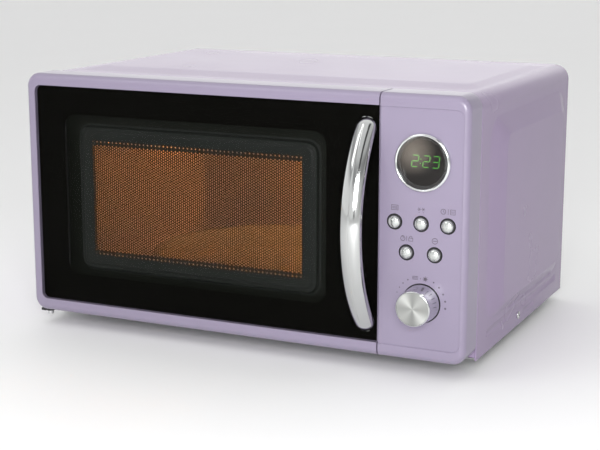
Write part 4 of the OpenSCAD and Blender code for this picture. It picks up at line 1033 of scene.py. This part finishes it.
# the latch spring's coil
spring_lo, spring_hi = box_mm("latch_spring")
SPRING_X, SPRING_Y = (spring_lo[0] + spring_hi[0]) / 2, (spring_lo[1] + spring_hi[1]) / 2
COIL_R = (spring_hi[0] - spring_lo[0]) / 2
WIRE_R, TURNS = 0.45, 6
rings = []
for k in range(TURNS * 24 + 1):
    t = 2 * math.pi * k / 24
    rise = (spring_hi[2] - spring_lo[2] - 2 * WIRE_R) * k / (TURNS * 24)
    mid = (SPRING_X + (COIL_R - WIRE_R) * math.cos(t), SPRING_Y + (COIL_R - WIRE_R) * math.sin(t),
           spring_lo[2] + WIRE_R + rise)
    rings.append([(mid[0] + WIRE_R * math.cos(t) * math.cos(u), mid[1] + WIRE_R * math.sin(t) * math.cos(u),
                   mid[2] + WIRE_R * math.sin(u)) for u in [2 * math.pi * j / 10 for j in range(10)]])
spring = loft("latch_spring_coil", rings)
place(spring, "door", M["screw"], ["latch_spring"], bevel=0, angle=60)
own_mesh(spring)


# ---- Stage and light ----

HALF_FLOOR = 6000
floor = make_mesh("floor", [(x * HALF_FLOOR, y * HALF_FLOOR, 0)
                            for x, y in ((-1, -1), (1, -1), (1, 1), (-1, 1))], [(0, 1, 2, 3)])
floor.data.materials.append(surface("pale_floor", (0.90, 0.90, 0.90), 0.6, vary=0.01, scale=3, spec=0.2))

world = bpy.data.worlds.new("studio")
scene.world = world
world.use_nodes = True
wn, wl = world.node_tree.nodes, world.node_tree.links
sky = wn["Background"]
where = wn.new("ShaderNodeTexCoord")
split = wn.new("ShaderNodeSeparateXYZ")
wl.new(where.outputs["Generated"], split.inputs["Vector"])


def ramp(source, stops):
    """Brightness over one direction component, taken from -1..1 to the stops' 0..1"""
    node = wn.new("ShaderNodeValToRGB")
    set_stops(node, stops)
    half = wn.new("ShaderNodeMath")
    half.operation, half.inputs[1].default_value, half.inputs[2].default_value = "MULTIPLY_ADD", 0.5, 0.5
    wl.new(source, half.inputs[0])
    wl.new(half.outputs["Value"], node.inputs["Fac"])
    return node.outputs["Color"]


def combine(kind, a, b):
    node = wn.new("ShaderNodeMath")
    node.operation = kind
    for k, source in enumerate((a, b)):
        if isinstance(source, (int, float)):
            node.inputs[k].default_value = source
        else:
            wl.new(source, node.inputs[k])
    return node.outputs["Value"]


# brightness of the studio by direction: brightest behind, dimmer to the right and most at the rear right,
# with a dim band above the horizon and a narrow dark screen at the front right
across = ramp(split.outputs["X"], [(0.0, 1.0), (0.5, 1.0), (0.62, 1.0), (0.8, 0.8), (1.0, 0.5)])
rear_right = ramp(combine("MULTIPLY", combine("ADD", split.outputs["X"], split.outputs["Y"]), 0.5),
                  [(0.0, 1.0), (0.73, 1.0), (0.79, 0.45), (0.86, 0.35), (1.0, 0.35)])
depth = ramp(split.outputs["Y"], [(0.0, 0.85), (0.35, 0.9), (0.6, 1.1), (0.88, 1.2), (1.0, 1.45)])
height = ramp(split.outputs["Z"], [(0.0, 1.15), (0.62, 1.15), (0.67, 0.85), (0.71, 0.45), (0.76, 0.45),
                                   (0.84, 0.9), (1.0, 1.0)])
dark_band = ramp(split.outputs["X"], [(0.0, 0.0), (0.63, 0.0), (0.66, 0.95), (0.71, 0.95), (0.74, 0.0),
                                      (1.0, 0.0)])
in_front = ramp(split.outputs["Y"], [(0.0, 1.0), (0.40, 1.0), (0.5, 0.0), (1.0, 0.0)])
screened = combine("SUBTRACT", 1.0, combine("MULTIPLY", dark_band, in_front))
level = combine("MULTIPLY", combine("MULTIPLY", across, depth), combine("MULTIPLY", height, screened))
level = combine("MULTIPLY", level, rear_right)
wl.new(level, sky.inputs["Strength"])
sky.inputs["Color"].default_value = (1.0, 1.0, 1.0, 1)


def softbox(name, place_m, target_m, size, power):
    data = bpy.data.lights.new(name, "AREA")
    data.shape, data.size, data.size_y, data.energy = "RECTANGLE", size[0], size[1], power
    lamp = bpy.data.objects.new(name, data)
    lamp.location = place_m
    lamp.rotation_euler = (Vector(target_m) - Vector(place_m)).to_track_quat("-Z", "Y").to_euler()
    scene.collection.objects.link(lamp)


softbox("key", (-0.9, -1.3, 1.5), (0, 0, 0.12), (1.1, 0.8), 5)
softbox("side", (0.65, -1.35, 0.55), (0.2, -0.08, 0.13), (0.5, 0.5), 16)
lamp_lo, lamp_hi = box_mm("oven_lamp")
bulb = bpy.data.lights.new("oven_lamp_light", "POINT")
bulb.energy, bulb.color, bulb.shadow_soft_size = 2.4, (1.0, 0.38, 0.07), 0.02
bulb_obj = bpy.data.objects.new("oven_lamp_light", bulb)
bulb_obj.location = ((liner_right - 14) * MM, (lamp_lo[1] + lamp_hi[1]) / 2 * MM,
                     (lamp_lo[2] + lamp_hi[2]) / 2 * MM)
scene.collection.objects.link(bulb_obj)

scene.view_settings.view_transform = "Standard"
